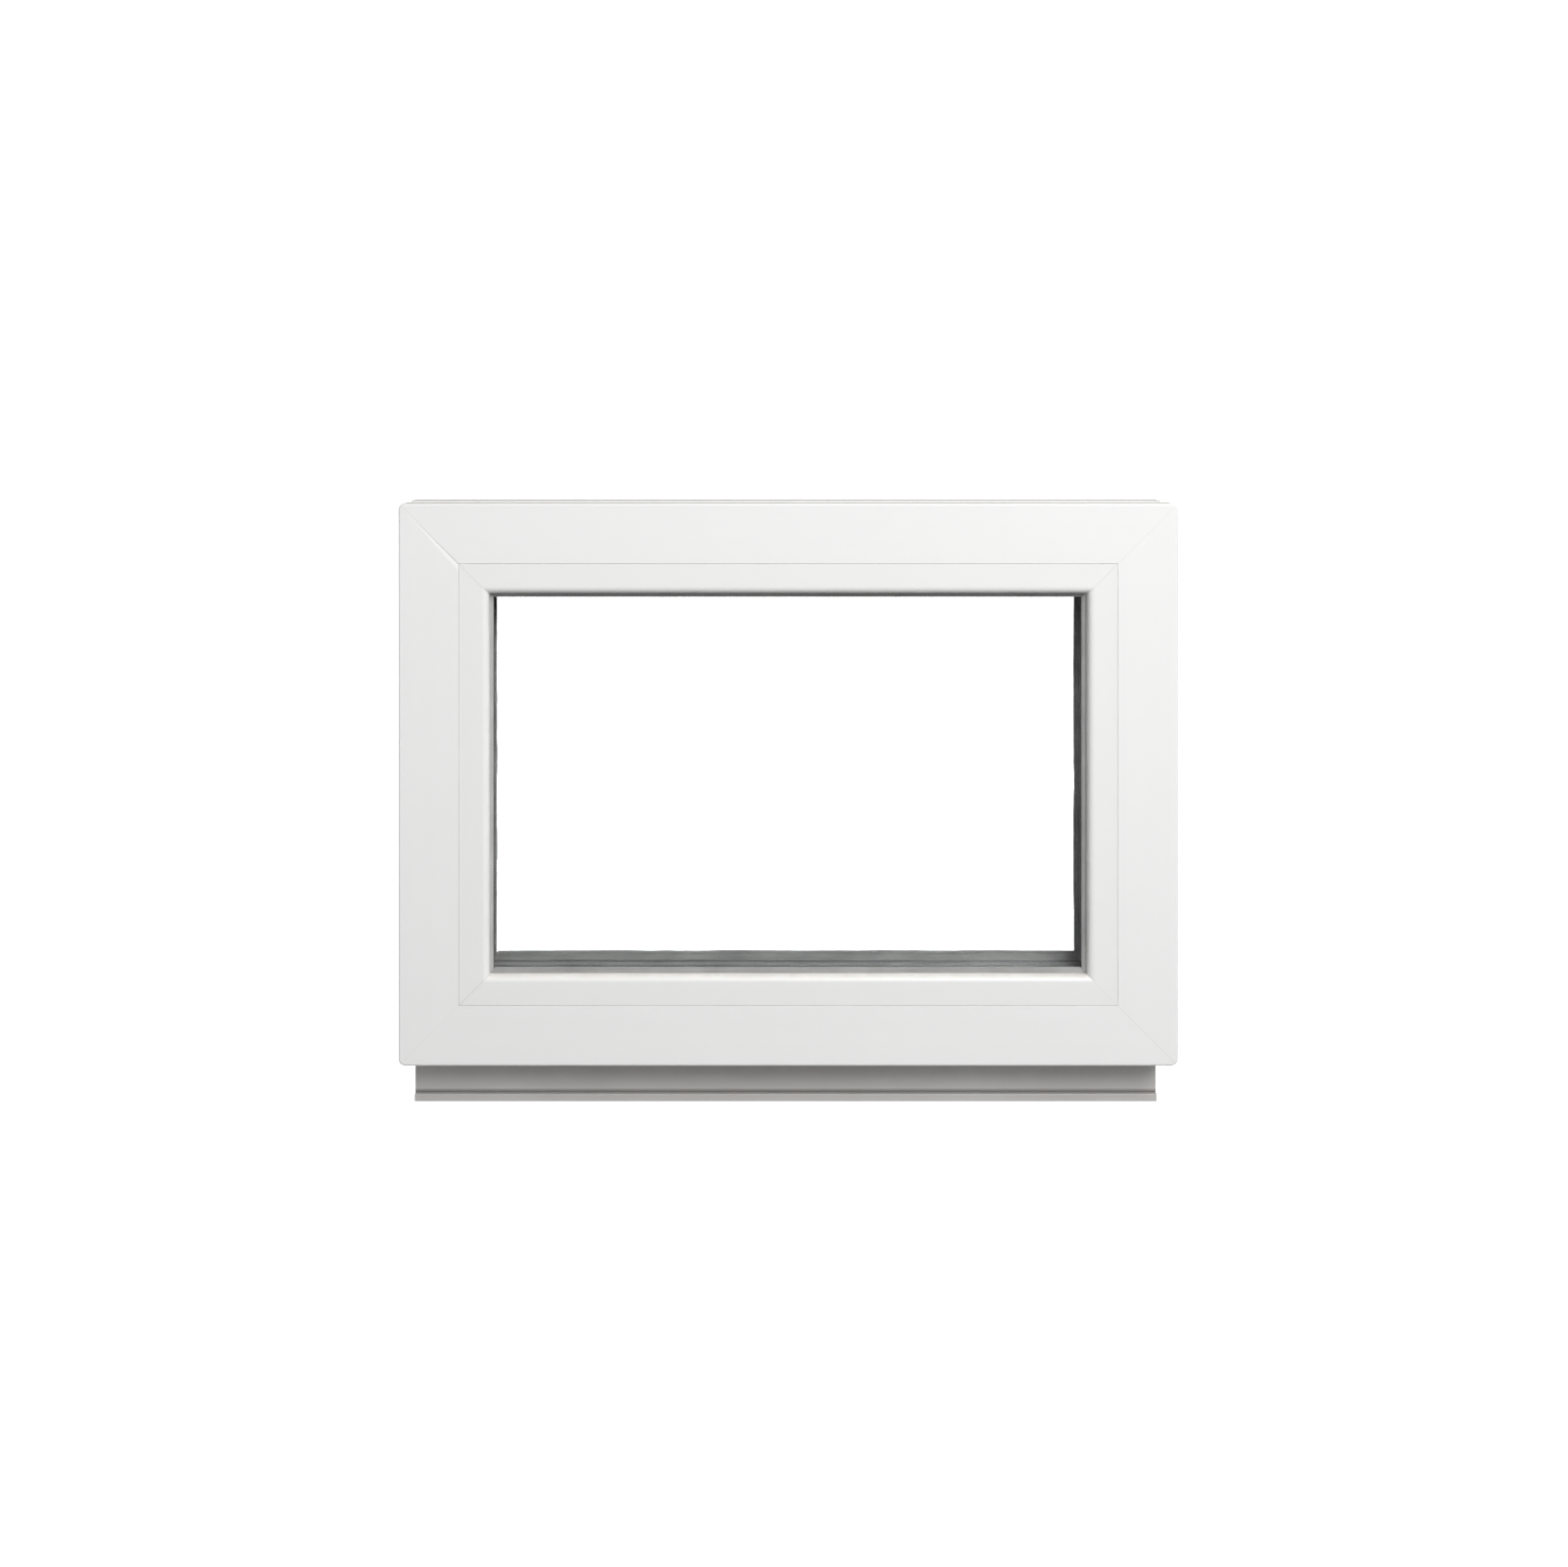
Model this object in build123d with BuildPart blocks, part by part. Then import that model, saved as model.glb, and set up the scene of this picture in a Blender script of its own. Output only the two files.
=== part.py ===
from build123d import *
import os

# A white PVC-U fixed light: a welded frame of mitred hollow bars, glazed directly with a
# triple insulating unit held by clip-in beads on the room side. It stands on a grey sill
# connection profile. Millimetres: +X is to the right as seen from the room, +Y runs from
# the room to the weather and +Z is up. The origin is on the underside of the sill
# profile, below the middle of the frame.
#
# Every bar section is drawn in two coordinates: "in" runs inward from the frame's outer
# edge, and "deep" runs from the room face towards the weather.

# ---- driving dimensions ----
FRAME_WIDTH = 600.0
FRAME_HEIGHT = 433.0
FRAME_DEPTH = 70.0
FACE = 46.7  # outer edge to the rebate, the width of a bar's room face
FLANGE = 67.0  # outer edge to the tip of the weather flange
WALL = 2.8  # visible walls of the hollow bars
FIT = 0.3  # clearance of clipped and loose pieces
SILL_HEIGHT = 37.5

# outside of the bars
NOSE = 14.0  # depth of the room-side nose
REAR_NOSE = 58.0  # where the weather-side nose starts
RECESS = 2.2  # clip recess between the two noses
CLIP_GROOVES = ((18.0, 22.0), (50.0, 54.0))
CLIP_DEPTH = 2.0
EDGE_RADIUS = 2.0
CORNER_RADIUS = 5.5
REAR_CORNER_RADIUS = 3.0
WELD_WIDTH = 4.5  # width of the cleaned facet beside a weld, at the rebate
WELD_DEPTH = {("left", 1): 0.45, ("left", -1): 0.08, ("right", 1): 0.15, ("right", -1): 0.15}
HAIRLINE = 0.3  # small chamfer each side of the joint between frame and bead
FLANGE_ARRIS = 0.7
FLANGE_TAPER = 3.6

# chambers of the frame bar, each from its near corner to its far corner as (in, deep)
FRONT_CHAMBER = ((2.8, 2.8), (40.3, 12.4))
MIDDLE_CHAMBER = ((6.4, 13.8), (43.9, 22.6))
STEEL_CHAMBER = ((6.4, 24.0), (43.9, 50.0))
WEATHER_CHAMBER = ((6.4, 51.6), (43.9, 67.2))
FLANGE_CHAMBER = ((45.5, 61.0), (58.6, 67.2))
CHAMBER_CORNER = 0.8
SMALL_CORNER = 0.5

# insulating glass unit
PANE = 4.0
CAVITY = 16.0
GLASS_FRONT = 10.0
GLASS_BACK = GLASS_FRONT + 3 * PANE + 2 * CAVITY
GLASS_EDGE = 53.2
SPACER_TOP = 67.6
SPACER_TALL = 7.0
SPACER_WALL = 0.8
ARRIS = 0.4
KEY_ARM = 22.0
KEY_PLAY = 0.2

# glazing bead and gaskets
BEAD_EDGE = 69.6
BEAD_FLAT = 64.4  # where the bead's face starts to round over
BEAD_SHOULDER = 5.2  # depth where the rounding ends
BEAD_BACK = 9.7
BEAD_GROOVE = (4.6, 8.6)
BEAD_GROOVE_DEPTH = 3.6
BEAD_WALL = 1.5
BEAD_GAP = 0.12  # between the bead and the rebate
BEAD_MITRE_GAP = 0.03
GASKET_SEAT = 7.6
GASKET_TIP = {"bottom": 73.8, "top": 73.0, "left": 72.4, "right": 72.9}
REAR_GASKET_TIP = 71.5
FLANGE_FACE = 58.0
GASKET_GROOVE = (60.0, 64.0)
GASKET_GROOVE_DEPTH = 2.5
GASKET_HEEL = 1.0
GASKET_PLAY = 0.2
LIP_ARRIS = 0.5
LIP_THICK = 2.4

# steel reinforcement
STEEL_PLAY = 0.4
STEEL_WALL = 1.5
STEEL_LIP = 6.0
STEEL_SHORT = 3.0  # each end stops this far inside the chamber's mitre

# screws and fixings
SCREW_RADIUS = 1.95
SCREW_HEAD_RADIUS = 3.7
SCREW_LENGTH = 16.0
SCREW_PLAY = 0.05
DRIVE_WIDTH = 1.0
DRIVE_SPAN = 3.6
DRIVE_DEPTH = 1.4
STEEL_AXIS = 37.0  # depth of the middle of the steel
SCREW_SPREAD = {"top": 340.0, "bottom": 340.0, "left": 230.0, "right": 230.0}
FIXING_RADIUS = 3.1
FIXING_SPACING = 150.0

# glazing packers
PACKER_SPLIT = 49.7  # where the rebate packer ends and the setting packer starts
PACKER_LENGTH = {"top": 80.0, "bottom": 80.0, "left": 60.0, "right": 60.0}
PACKER_FROM_CORNER = 70.0
PACKER_RIB = 1.0

# drainage
SLOT_LENGTH = 28.0
SLOT_HEIGHT = 5.0
SLOT_IN = 11.5  # height of the weather slot's middle above the frame's underside
REBATE_SLOT_DEEP = 54.8
REBATE_SLOT_HEIGHT = 4.0
DRAIN_SPREAD = 300.0
VENT_SPREAD = 200.0

# drain cover and its flap
HOOD_WIDTH = 36.0
HOOD_LOW = 43.5
HOOD_HIGH = 56.5
HOOD_DEPTH = 8.5
HOOD_WALL = 1.2
HOOD_BACK = 1.0
HOOD_WINDOW = 24.0  # length of the opening behind the flap
PRONG_X = 13.0
PRONG_TALL = 2.0
FLAP_WIDTH = 29.0
FLAP_LOW = 44.5
FLAP_THICK = 0.8
FLAP_RIB = 1.8
FLAP_RIB_TALL = 1.4
FLAP_SET = 0.2  # the blade's middle lies this far behind the hinge line
HINGE_HEIGHT = 53.9
HINGE_OUT = 1.8  # distance of the hinge line from the frame's weather face
BARREL_RADIUS = 0.7
PIN_RADIUS = 0.5
PIN_PLAY = 0.06
PIN_BORE = 0.8  # depth of the blind bores in the hood's cheeks
PIN_LENGTH = 0.6

# sill connection profile, drawn by "drop" below the frame and "deep"
SILL_FACE = 33.0
SILL_BACK = 66.0
SILL_LEFT = 8.0  # how far the profile stops short of the frame's left edge
SILL_RIGHT = 10.0
SILL_WALL = 2.0
SILL_WEB = 1.5
FOOT_DEEP = 29.0
FOOT_DROP = 31.5
FOOT_GROOVE = 0.9
FOOT_RADIUS = 0.8
SILL_CORNER = 1.0
STRIP = (36.0, 42.0)
SILL_RIB = (52.0, 53.5)
SILL_SHELF = 19.0
LEG = 2.0
SILL_SCREW_DEEP = 45.0
SILL_SCREW_SPREAD = 360.0
ACCESS_RADIUS = 4.5

TOUCH = 0.01  # how near counts as being on a plane

FRONT = -FRAME_DEPTH / 2
BACK = FRAME_DEPTH / 2
MIDDLE_Z = SILL_HEIGHT + FRAME_HEIGHT / 2
TOP_Z = SILL_HEIGHT + FRAME_HEIGHT


class Side:
    """One side of the window: its outer edge, which way is inward and which way it runs."""

    def __init__(self, middle, inward, run, length):
        self.middle = Vector(*middle)
        self.inward = Vector(*inward)
        self.run = Vector(*run)
        self.length = length
        self.plane = Plane(origin=self.middle, x_dir=self.inward, z_dir=self.run)

    def point(self, along, inside, deep):
        """A point by its distance along the run, inward from the edge and deep."""
        return self.middle + self.run * along + self.inward * inside + Vector(0, deep, 0)

    def mitre(self, end, gap=0.0):
        """The mitre plane at one end, whose normal points off the bar."""
        normal = (self.run * end + self.inward).normalized()
        return Plane(origin=self.point(end * self.length / 2, 0, 0) - normal * gap, z_dir=normal)


SIDES = {
    "bottom": Side((0, FRONT, SILL_HEIGHT), (0, 0, 1), (-1, 0, 0), FRAME_WIDTH),
    "top": Side((0, FRONT, TOP_Z), (0, 0, -1), (1, 0, 0), FRAME_WIDTH),
    "left": Side((-FRAME_WIDTH / 2, FRONT, MIDDLE_Z), (1, 0, 0), (0, 0, 1), FRAME_HEIGHT),
    "right": Side((FRAME_WIDTH / 2, FRONT, MIDDLE_Z), (-1, 0, 0), (0, 0, -1), FRAME_HEIGHT),
}

os.makedirs("parts", exist_ok=True)


def save(part, name):
    part.label = name
    export_step(part, f"parts/{name}.step")


def chamber(low, high, corner=CHAMBER_CORNER):
    """Cuts one rounded rectangle out of the open sketch, given two opposite corners."""
    with Locations(((low[0] + high[0]) / 2, (low[1] + high[1]) / 2)):
        RectangleRounded(high[0] - low[0], high[1] - low[1], corner, mode=Mode.SUBTRACT)


def mitred_bar(section, side, gap=0.0):
    """Runs a section along one side and cuts both ends at 45 degrees."""
    with BuildPart() as bar:
        with BuildSketch(side.plane):
            add(section.sketch_local)
        extrude(amount=side.length / 2, both=True)
        for end in (1, -1):
            split(bisect_by=side.mitre(end, gap), keep=Keep.BOTTOM)
    return bar.part


def drill(points, direction, radius, length):
    """Drills a round hole from each point in the open part."""
    for point in points:
        with BuildSketch(Plane(origin=point, z_dir=direction)) as spot:
            Circle(radius)
        extrude(spot.sketch, amount=length, mode=Mode.SUBTRACT)


def drill_slots(points, run, direction, height, depth):
    """Mills a long slot with round ends from each point in the open part."""
    for point in points:
        with BuildSketch(Plane(origin=point, x_dir=run, z_dir=direction)) as spot:
            SlotOverall(SLOT_LENGTH, height)
        extrude(spot.sketch, amount=depth, mode=Mode.SUBTRACT)


def spread(side, distance, inside, deep):
    """Two points on a side, one each way from its middle."""
    return [side.point(end * distance / 2, inside, deep) for end in (1, -1)]


# ---- sections ----
def recess_outline():
    """Outer side of the frame bar, from the weather nose forward to the room nose."""
    points = [(0, FRAME_DEPTH), (0, REAR_NOSE), (RECESS, REAR_NOSE)]
    for near, far in reversed(CLIP_GROOVES):
        points += [(RECESS, far), (RECESS + CLIP_DEPTH, far)]
        points += [(RECESS + CLIP_DEPTH, near), (RECESS, near)]
    return points + [(RECESS, NOSE), (0, NOSE)]


with BuildSketch() as frame_section:
    with BuildLine():
        Polyline(
            (0, 0),
            (FACE - HAIRLINE, 0),
            (FACE, HAIRLINE),
            (FACE, BEAD_GROOVE[0]),
            (FACE - BEAD_GROOVE_DEPTH, BEAD_GROOVE[0]),
            (FACE - BEAD_GROOVE_DEPTH, BEAD_GROOVE[1]),
            (FACE, BEAD_GROOVE[1]),
            (FACE, FLANGE_FACE),
            (GASKET_GROOVE[0], FLANGE_FACE),
            (GASKET_GROOVE[0], FLANGE_FACE + GASKET_GROOVE_DEPTH),
            (GASKET_GROOVE[1], FLANGE_FACE + GASKET_GROOVE_DEPTH),
            (GASKET_GROOVE[1], FLANGE_FACE),
            (FLANGE - FLANGE_ARRIS, FLANGE_FACE),
            (FLANGE, FLANGE_FACE + FLANGE_ARRIS),
            (FLANGE - FLANGE_TAPER, FRAME_DEPTH),
            *recess_outline(),
            close=True,
        )
    make_face()
    chamber(*FRONT_CHAMBER)
    chamber(*MIDDLE_CHAMBER)
    chamber(*STEEL_CHAMBER, corner=SMALL_CORNER)
    chamber(*WEATHER_CHAMBER)
    chamber(*FLANGE_CHAMBER, corner=SMALL_CORNER)

with BuildSketch() as steel_section:
    with Locations((sum(c[0] for c in STEEL_CHAMBER) / 2, sum(c[1] for c in STEEL_CHAMBER) / 2)):
        steel_wide = STEEL_CHAMBER[1][0] - STEEL_CHAMBER[0][0] - 2 * STEEL_PLAY
        steel_deep = STEEL_CHAMBER[1][1] - STEEL_CHAMBER[0][1] - 2 * STEEL_PLAY
        Rectangle(steel_wide, steel_deep)
        Rectangle(
            steel_wide - 2 * STEEL_WALL, steel_deep - 2 * STEEL_WALL, mode=Mode.SUBTRACT
        )
    with Locations((sum(c[0] for c in STEEL_CHAMBER) / 2, STEEL_CHAMBER[0][1])):
        Rectangle(
            steel_wide - 2 * STEEL_WALL - 2 * STEEL_LIP, 4 * STEEL_WALL, mode=Mode.SUBTRACT
        )

with BuildSketch() as bead_section:
    bead_low = FACE + BEAD_GAP
    with BuildLine():
        Polyline((bead_low, HAIRLINE), (bead_low + HAIRLINE, 0), (BEAD_FLAT, 0))
        TangentArc((BEAD_FLAT, 0), (BEAD_EDGE, BEAD_SHOULDER), tangent=(1, 0))
        Polyline(
            (BEAD_EDGE, BEAD_SHOULDER),
            (BEAD_EDGE, GASKET_SEAT),
            (BEAD_FLAT, GASKET_SEAT),
            (BEAD_FLAT, BEAD_BACK),
            (bead_low, BEAD_BACK),
            (bead_low, BEAD_GROOVE[1] - FIT),
            (FACE - BEAD_GROOVE_DEPTH + FIT, BEAD_GROOVE[1] - FIT),
            (FACE - BEAD_GROOVE_DEPTH + FIT, BEAD_GROOVE[0] + FIT),
            (bead_low, BEAD_GROOVE[0] + FIT),
            (bead_low, HAIRLINE),
        )
    make_face()
    chamber(
        (bead_low + BEAD_WALL, BEAD_WALL),
        (BEAD_FLAT - BEAD_WALL, BEAD_BACK - BEAD_WALL),
        corner=SMALL_CORNER,
    )


def bead_gasket_section(tip):
    """Gasket clipped behind the bead, whose lip rests on the glass up to the given tip."""
    with BuildSketch() as section:
        with BuildLine():
            Polyline(
                (BEAD_FLAT + FIT, GASKET_SEAT),
                (BEAD_EDGE, GASKET_SEAT),
                (tip - LIP_ARRIS, GLASS_FRONT - 2 * LIP_ARRIS),
                (tip, GLASS_FRONT - LIP_ARRIS),
                (tip, GLASS_FRONT),
                (BEAD_FLAT + FIT, GLASS_FRONT),
                close=True,
            )
        make_face()
    return section


with BuildSketch() as rear_gasket_section:
    root_depth = FLANGE_FACE + GASKET_GROOVE_DEPTH - FIT
    with BuildLine():
        Polyline(
            (GASKET_GROOVE[0] - GASKET_HEEL, FLANGE_FACE),
            (GASKET_GROOVE[0] - GASKET_HEEL, GLASS_BACK + GASKET_HEEL),
            (GASKET_GROOVE[0], GLASS_BACK),
            (REAR_GASKET_TIP - LIP_ARRIS, GLASS_BACK),
            (REAR_GASKET_TIP, GLASS_BACK + LIP_ARRIS),
            (REAR_GASKET_TIP - 2 * LIP_ARRIS, GLASS_BACK + LIP_THICK),
            (FLANGE - FLANGE_ARRIS, FLANGE_FACE),
            (GASKET_GROOVE[1] - GASKET_PLAY, FLANGE_FACE),
            (GASKET_GROOVE[1] - GASKET_PLAY, root_depth),
            (GASKET_GROOVE[0] + GASKET_PLAY, root_depth),
            (GASKET_GROOVE[0] + GASKET_PLAY, FLANGE_FACE),
            close=True,
        )
    make_face()


def spacer_section(deep):
    """Hollow spacer bar of one cavity, which starts at the given depth."""
    with BuildSketch() as section:
        with Locations((SPACER_TOP - SPACER_TALL / 2, deep + CAVITY / 2)):
            RectangleRounded(SPACER_TALL, CAVITY, SPACER_WALL)
            RectangleRounded(
                SPACER_TALL - 2 * SPACER_WALL,
                CAVITY - 2 * SPACER_WALL,
                SPACER_WALL / 2,
                mode=Mode.SUBTRACT,
            )
    return section


# ---- frame bars ----
def weld_facet(side, end, deep, into, depth):
    """Slanting facet that the cleaning knife leaves on this bar beside a welded mitre.

    It starts at the outer corner and is widest and deepest at the rebate. into is +1 on
    the room face and -1 on the weather face.
    """
    onto_bar = -(side.run * end + side.inward).normalized()
    corner = side.point(end * side.length / 2, 0, deep)
    at_rebate = side.point(end * (side.length / 2 - FACE), FACE, deep)
    deepest = at_rebate + Vector(0, into * depth, 0)
    runs_out = at_rebate + onto_bar * WELD_WIDTH
    normal = (deepest - corner).cross(runs_out - corner).normalized()
    outward = normal * (-into if normal.Y > 0 else into)
    split(bisect_by=Plane(origin=corner, z_dir=outward), keep=Keep.BOTTOM)


def round_corner(side, end, deep, nose, radius):
    """Takes the sharp corner off one nose, which starts at a depth and is that thick."""
    corner = side.point(end * side.length / 2, 0, deep)
    with BuildSketch(Plane(origin=corner, x_dir=side.inward, z_dir=side.run)) as outside:
        with Locations((radius / 2, nose / 2)):
            Rectangle(radius, nose)
    with BuildPart(mode=Mode.PRIVATE) as waste:
        extrude(outside.sketch, amount=-radius * end)
        centre = side.point(end * (side.length / 2 - radius), radius, deep)
        with BuildSketch(Plane(origin=centre, z_dir=(0, 1, 0))) as disc:
            Circle(radius)
        extrude(disc.sketch, amount=nose, mode=Mode.SUBTRACT)
    add(waste.part, mode=Mode.SUBTRACT)


def frame_bar(name, side):
    """One bar of the welded frame, with rounded corners, weld facets and drilled holes."""
    with BuildPart() as bar:
        add(mitred_bar(frame_section, side))
        for end in (1, -1):
            round_corner(side, end, 0, NOSE, CORNER_RADIUS)
            round_corner(side, end, REAR_NOSE, FRAME_DEPTH - REAR_NOSE, REAR_CORNER_RADIUS)
        room_face = bar.edges().filter_by_position(Axis.Y, FRONT - TOUCH, FRONT + TOUCH)
        outer = [
            edge
            for edge in room_face
            if (edge.center() - side.middle).dot(side.inward) < EDGE_RADIUS
        ]
        fillet(outer, radius=EDGE_RADIUS)
        if name in ("left", "right"):
            for end in (1, -1):
                weld_facet(side, end, 0, 1, WELD_DEPTH[name, end])
                weld_facet(side, end, FRAME_DEPTH, -1, WELD_DEPTH[name, end])
        for point in spread(side, SCREW_SPREAD[name], RECESS, STEEL_AXIS):
            with Locations(Plane(origin=point, z_dir=-side.inward)):
                CounterSinkHole(
                    SCREW_RADIUS + SCREW_PLAY, SCREW_HEAD_RADIUS + SCREW_PLAY, depth=SCREW_LENGTH
                )
        if name in ("left", "right"):
            drill(spread(side, FIXING_SPACING, 0, STEEL_AXIS), side.inward, FIXING_RADIUS, FLANGE)
        if name == "bottom":
            sill_holes = spread(side, SILL_SCREW_SPREAD, 0, SILL_SCREW_DEEP)
            drill(sill_holes, side.inward, SCREW_RADIUS + SCREW_PLAY, SCREW_LENGTH)
            drains = spread(side, DRAIN_SPREAD, SLOT_IN, FRAME_DEPTH)
            drill_slots(drains, side.run, (0, -1, 0), SLOT_HEIGHT, 2 * WALL)
        if name in ("bottom", "top"):
            distance = DRAIN_SPREAD if name == "bottom" else VENT_SPREAD
            slots = spread(side, distance, FACE, REBATE_SLOT_DEEP)
            drill_slots(slots, side.run, -side.inward, REBATE_SLOT_HEIGHT, 2 * WALL)
        if name == "top":
            vents = spread(side, VENT_SPREAD, SLOT_IN, FRAME_DEPTH)
            drill_slots(vents, side.run, (0, -1, 0), SLOT_HEIGHT, 2 * WALL)
    return bar.part


def steel_bar(name, side):
    """Galvanised channel inside a bar, cut square and drilled for its screws."""
    half = side.length / 2 - STEEL_CHAMBER[1][0] - STEEL_SHORT
    with BuildPart() as bar:
        with BuildSketch(side.plane):
            add(steel_section.sketch_local)
        extrude(amount=half, both=True)
        screws = spread(side, SCREW_SPREAD[name], 0, STEEL_AXIS)
        drill(screws, side.inward, SCREW_RADIUS + SCREW_PLAY, FACE / 2)
        if name in ("left", "right"):
            drill(spread(side, FIXING_SPACING, 0, STEEL_AXIS), side.inward, FIXING_RADIUS, FLANGE)
        if name == "bottom":
            sill_holes = spread(side, SILL_SCREW_SPREAD, 0, SILL_SCREW_DEEP)
            drill(sill_holes, side.inward, SCREW_RADIUS + SCREW_PLAY, SCREW_LENGTH)
    return bar.part


for name, side in SIDES.items():
    save(frame_bar(name, side), f"frame_{name}")
    save(steel_bar(name, side), f"steel_reinforcement_{name}")
    save(mitred_bar(bead_section, side, BEAD_MITRE_GAP), f"glazing_bead_{name}")
    gasket_section = bead_gasket_section(GASKET_TIP[name])
    save(mitred_bar(gasket_section, side), f"bead_gasket_{name}")
    save(mitred_bar(rear_gasket_section, side), f"weather_gasket_{name}")


# ---- insulating glass unit ----
def ring_sketch(plane, outer, inner):
    """Rectangular ring between two insets from the frame's outer edge."""
    with BuildSketch(plane) as ring:
        Rectangle(FRAME_WIDTH - 2 * outer, FRAME_HEIGHT - 2 * outer)
        if inner:
            Rectangle(FRAME_WIDTH - 2 * inner, FRAME_HEIGHT - 2 * inner, mode=Mode.SUBTRACT)
    return ring.sketch


def upright_plane(deep):
    """Plane parallel to the room face at a depth, facing the weather."""
    return Plane(origin=(0, FRONT + deep, MIDDLE_Z), x_dir=(-1, 0, 0), z_dir=(0, 1, 0))


pane_depths = [GLASS_FRONT + i * (PANE + CAVITY) for i in range(3)]
for pane_name, deep in zip(("room", "middle", "weather"), pane_depths):
    with BuildPart() as pane:
        extrude(ring_sketch(upright_plane(deep), GLASS_EDGE, 0), amount=PANE)
        chamfer(pane.edges(), length=ARRIS)
    save(pane.part, f"glass_pane_{pane_name}")

corner_keys = []
for cavity_name, deep in zip(("room", "weather"), pane_depths):
    start = deep + PANE
    for name, side in SIDES.items():
        save(mitred_bar(spacer_section(start), side), f"spacer_{cavity_name}_{name}")
    with BuildPart() as seal:
        extrude(
            ring_sketch(upright_plane(start), GLASS_EDGE + ARRIS, SPACER_TOP - SPACER_TALL),
            amount=CAVITY,
        )
    save(seal.part, f"edge_seal_{cavity_name}")
    with BuildPart() as keys:
        low = SPACER_TOP - SPACER_TALL + SPACER_WALL + KEY_PLAY
        high = SPACER_TOP - SPACER_WALL - KEY_PLAY
        thickness = CAVITY - 2 * SPACER_WALL - 2 * KEY_PLAY
        extrude(
            ring_sketch(upright_plane(start + SPACER_WALL + KEY_PLAY), low, high),
            amount=thickness,
        )
        with BuildSketch(upright_plane(start)) as between:
            Rectangle(FRAME_WIDTH - 2 * low - 2 * KEY_ARM, FRAME_HEIGHT)
            Rectangle(FRAME_WIDTH, FRAME_HEIGHT - 2 * low - 2 * KEY_ARM)
        extrude(between.sketch, amount=CAVITY, mode=Mode.SUBTRACT)
    corner_keys.append(keys.part)

with BuildPart() as spacer_corner_keys:
    add(corner_keys)
save(spacer_corner_keys.part, "spacer_corner_keys")


# ---- packers between the glass and the rebate ----
def packer_group(low, high):
    """A plate near each end of every side, between two heights above the outer edge."""
    with BuildPart() as group:
        for name, side in SIDES.items():
            distance = side.length - 2 * GLASS_EDGE - 2 * PACKER_FROM_CORNER
            for foot in spread(side, distance, low, (GLASS_FRONT + GLASS_BACK) / 2):
                with BuildSketch(Plane(origin=foot, x_dir=side.run, z_dir=side.inward)) as outline:
                    deep = GLASS_BACK - GLASS_FRONT - 2 * PACKER_RIB
                    RectangleRounded(PACKER_LENGTH[name], deep, PACKER_RIB)
                extrude(outline.sketch, amount=high - low)
    return group.part


save(packer_group(FACE, PACKER_SPLIT), "rebate_packers")
save(packer_group(PACKER_SPLIT, GLASS_EDGE), "setting_packers")


# ---- screws ----
with BuildPart() as countersunk_screw:
    with BuildSketch(Plane.XZ) as half_section:
        with BuildLine():
            Polyline(
                (0, 0),
                (SCREW_HEAD_RADIUS, 0),
                (SCREW_RADIUS, SCREW_RADIUS - SCREW_HEAD_RADIUS),
                (SCREW_RADIUS, 2 * SCREW_RADIUS - SCREW_LENGTH),
                (0, -SCREW_LENGTH),
                close=True,
            )
        make_face()
    revolve(axis=Axis.Z)
    with BuildSketch() as drive:
        Rectangle(DRIVE_SPAN, DRIVE_WIDTH)
        Rectangle(DRIVE_WIDTH, DRIVE_SPAN)
    extrude(amount=-DRIVE_DEPTH, mode=Mode.SUBTRACT)


def screw_group(places):
    """Copies of the countersunk screw, each on a plane whose normal points out of its head."""
    with BuildPart() as group:
        with Locations(*places):
            add(countersunk_screw.part)
    return group.part


steel_screw_places = [
    Plane(origin=point, z_dir=-side.inward)
    for name, side in SIDES.items()
    for point in spread(side, SCREW_SPREAD[name], RECESS, STEEL_AXIS)
]
save(screw_group(steel_screw_places), "reinforcement_screws")

sill_screw_points = spread(SIDES["bottom"], SILL_SCREW_SPREAD, -SILL_WALL, SILL_SCREW_DEEP)
save(
    screw_group([Plane(origin=point, z_dir=(0, 0, -1)) for point in sill_screw_points]),
    "sill_screws",
)


# ---- sill connection profile ----
def sill_point(drop, deep):
    """Section point of the sill profile in the YZ plane."""
    return (FRONT + deep, SILL_HEIGHT - drop)


def sill_chamber(top, front, bottom, back):
    with Locations(sill_point((top + bottom) / 2, (front + back) / 2)):
        RectangleRounded(back - front, bottom - top, SILL_CORNER, mode=Mode.SUBTRACT)


sill_left = -FRAME_WIDTH / 2 + SILL_LEFT
sill_right = FRAME_WIDTH / 2 - SILL_RIGHT
sill_middle = (sill_left + sill_right) / 2

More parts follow.
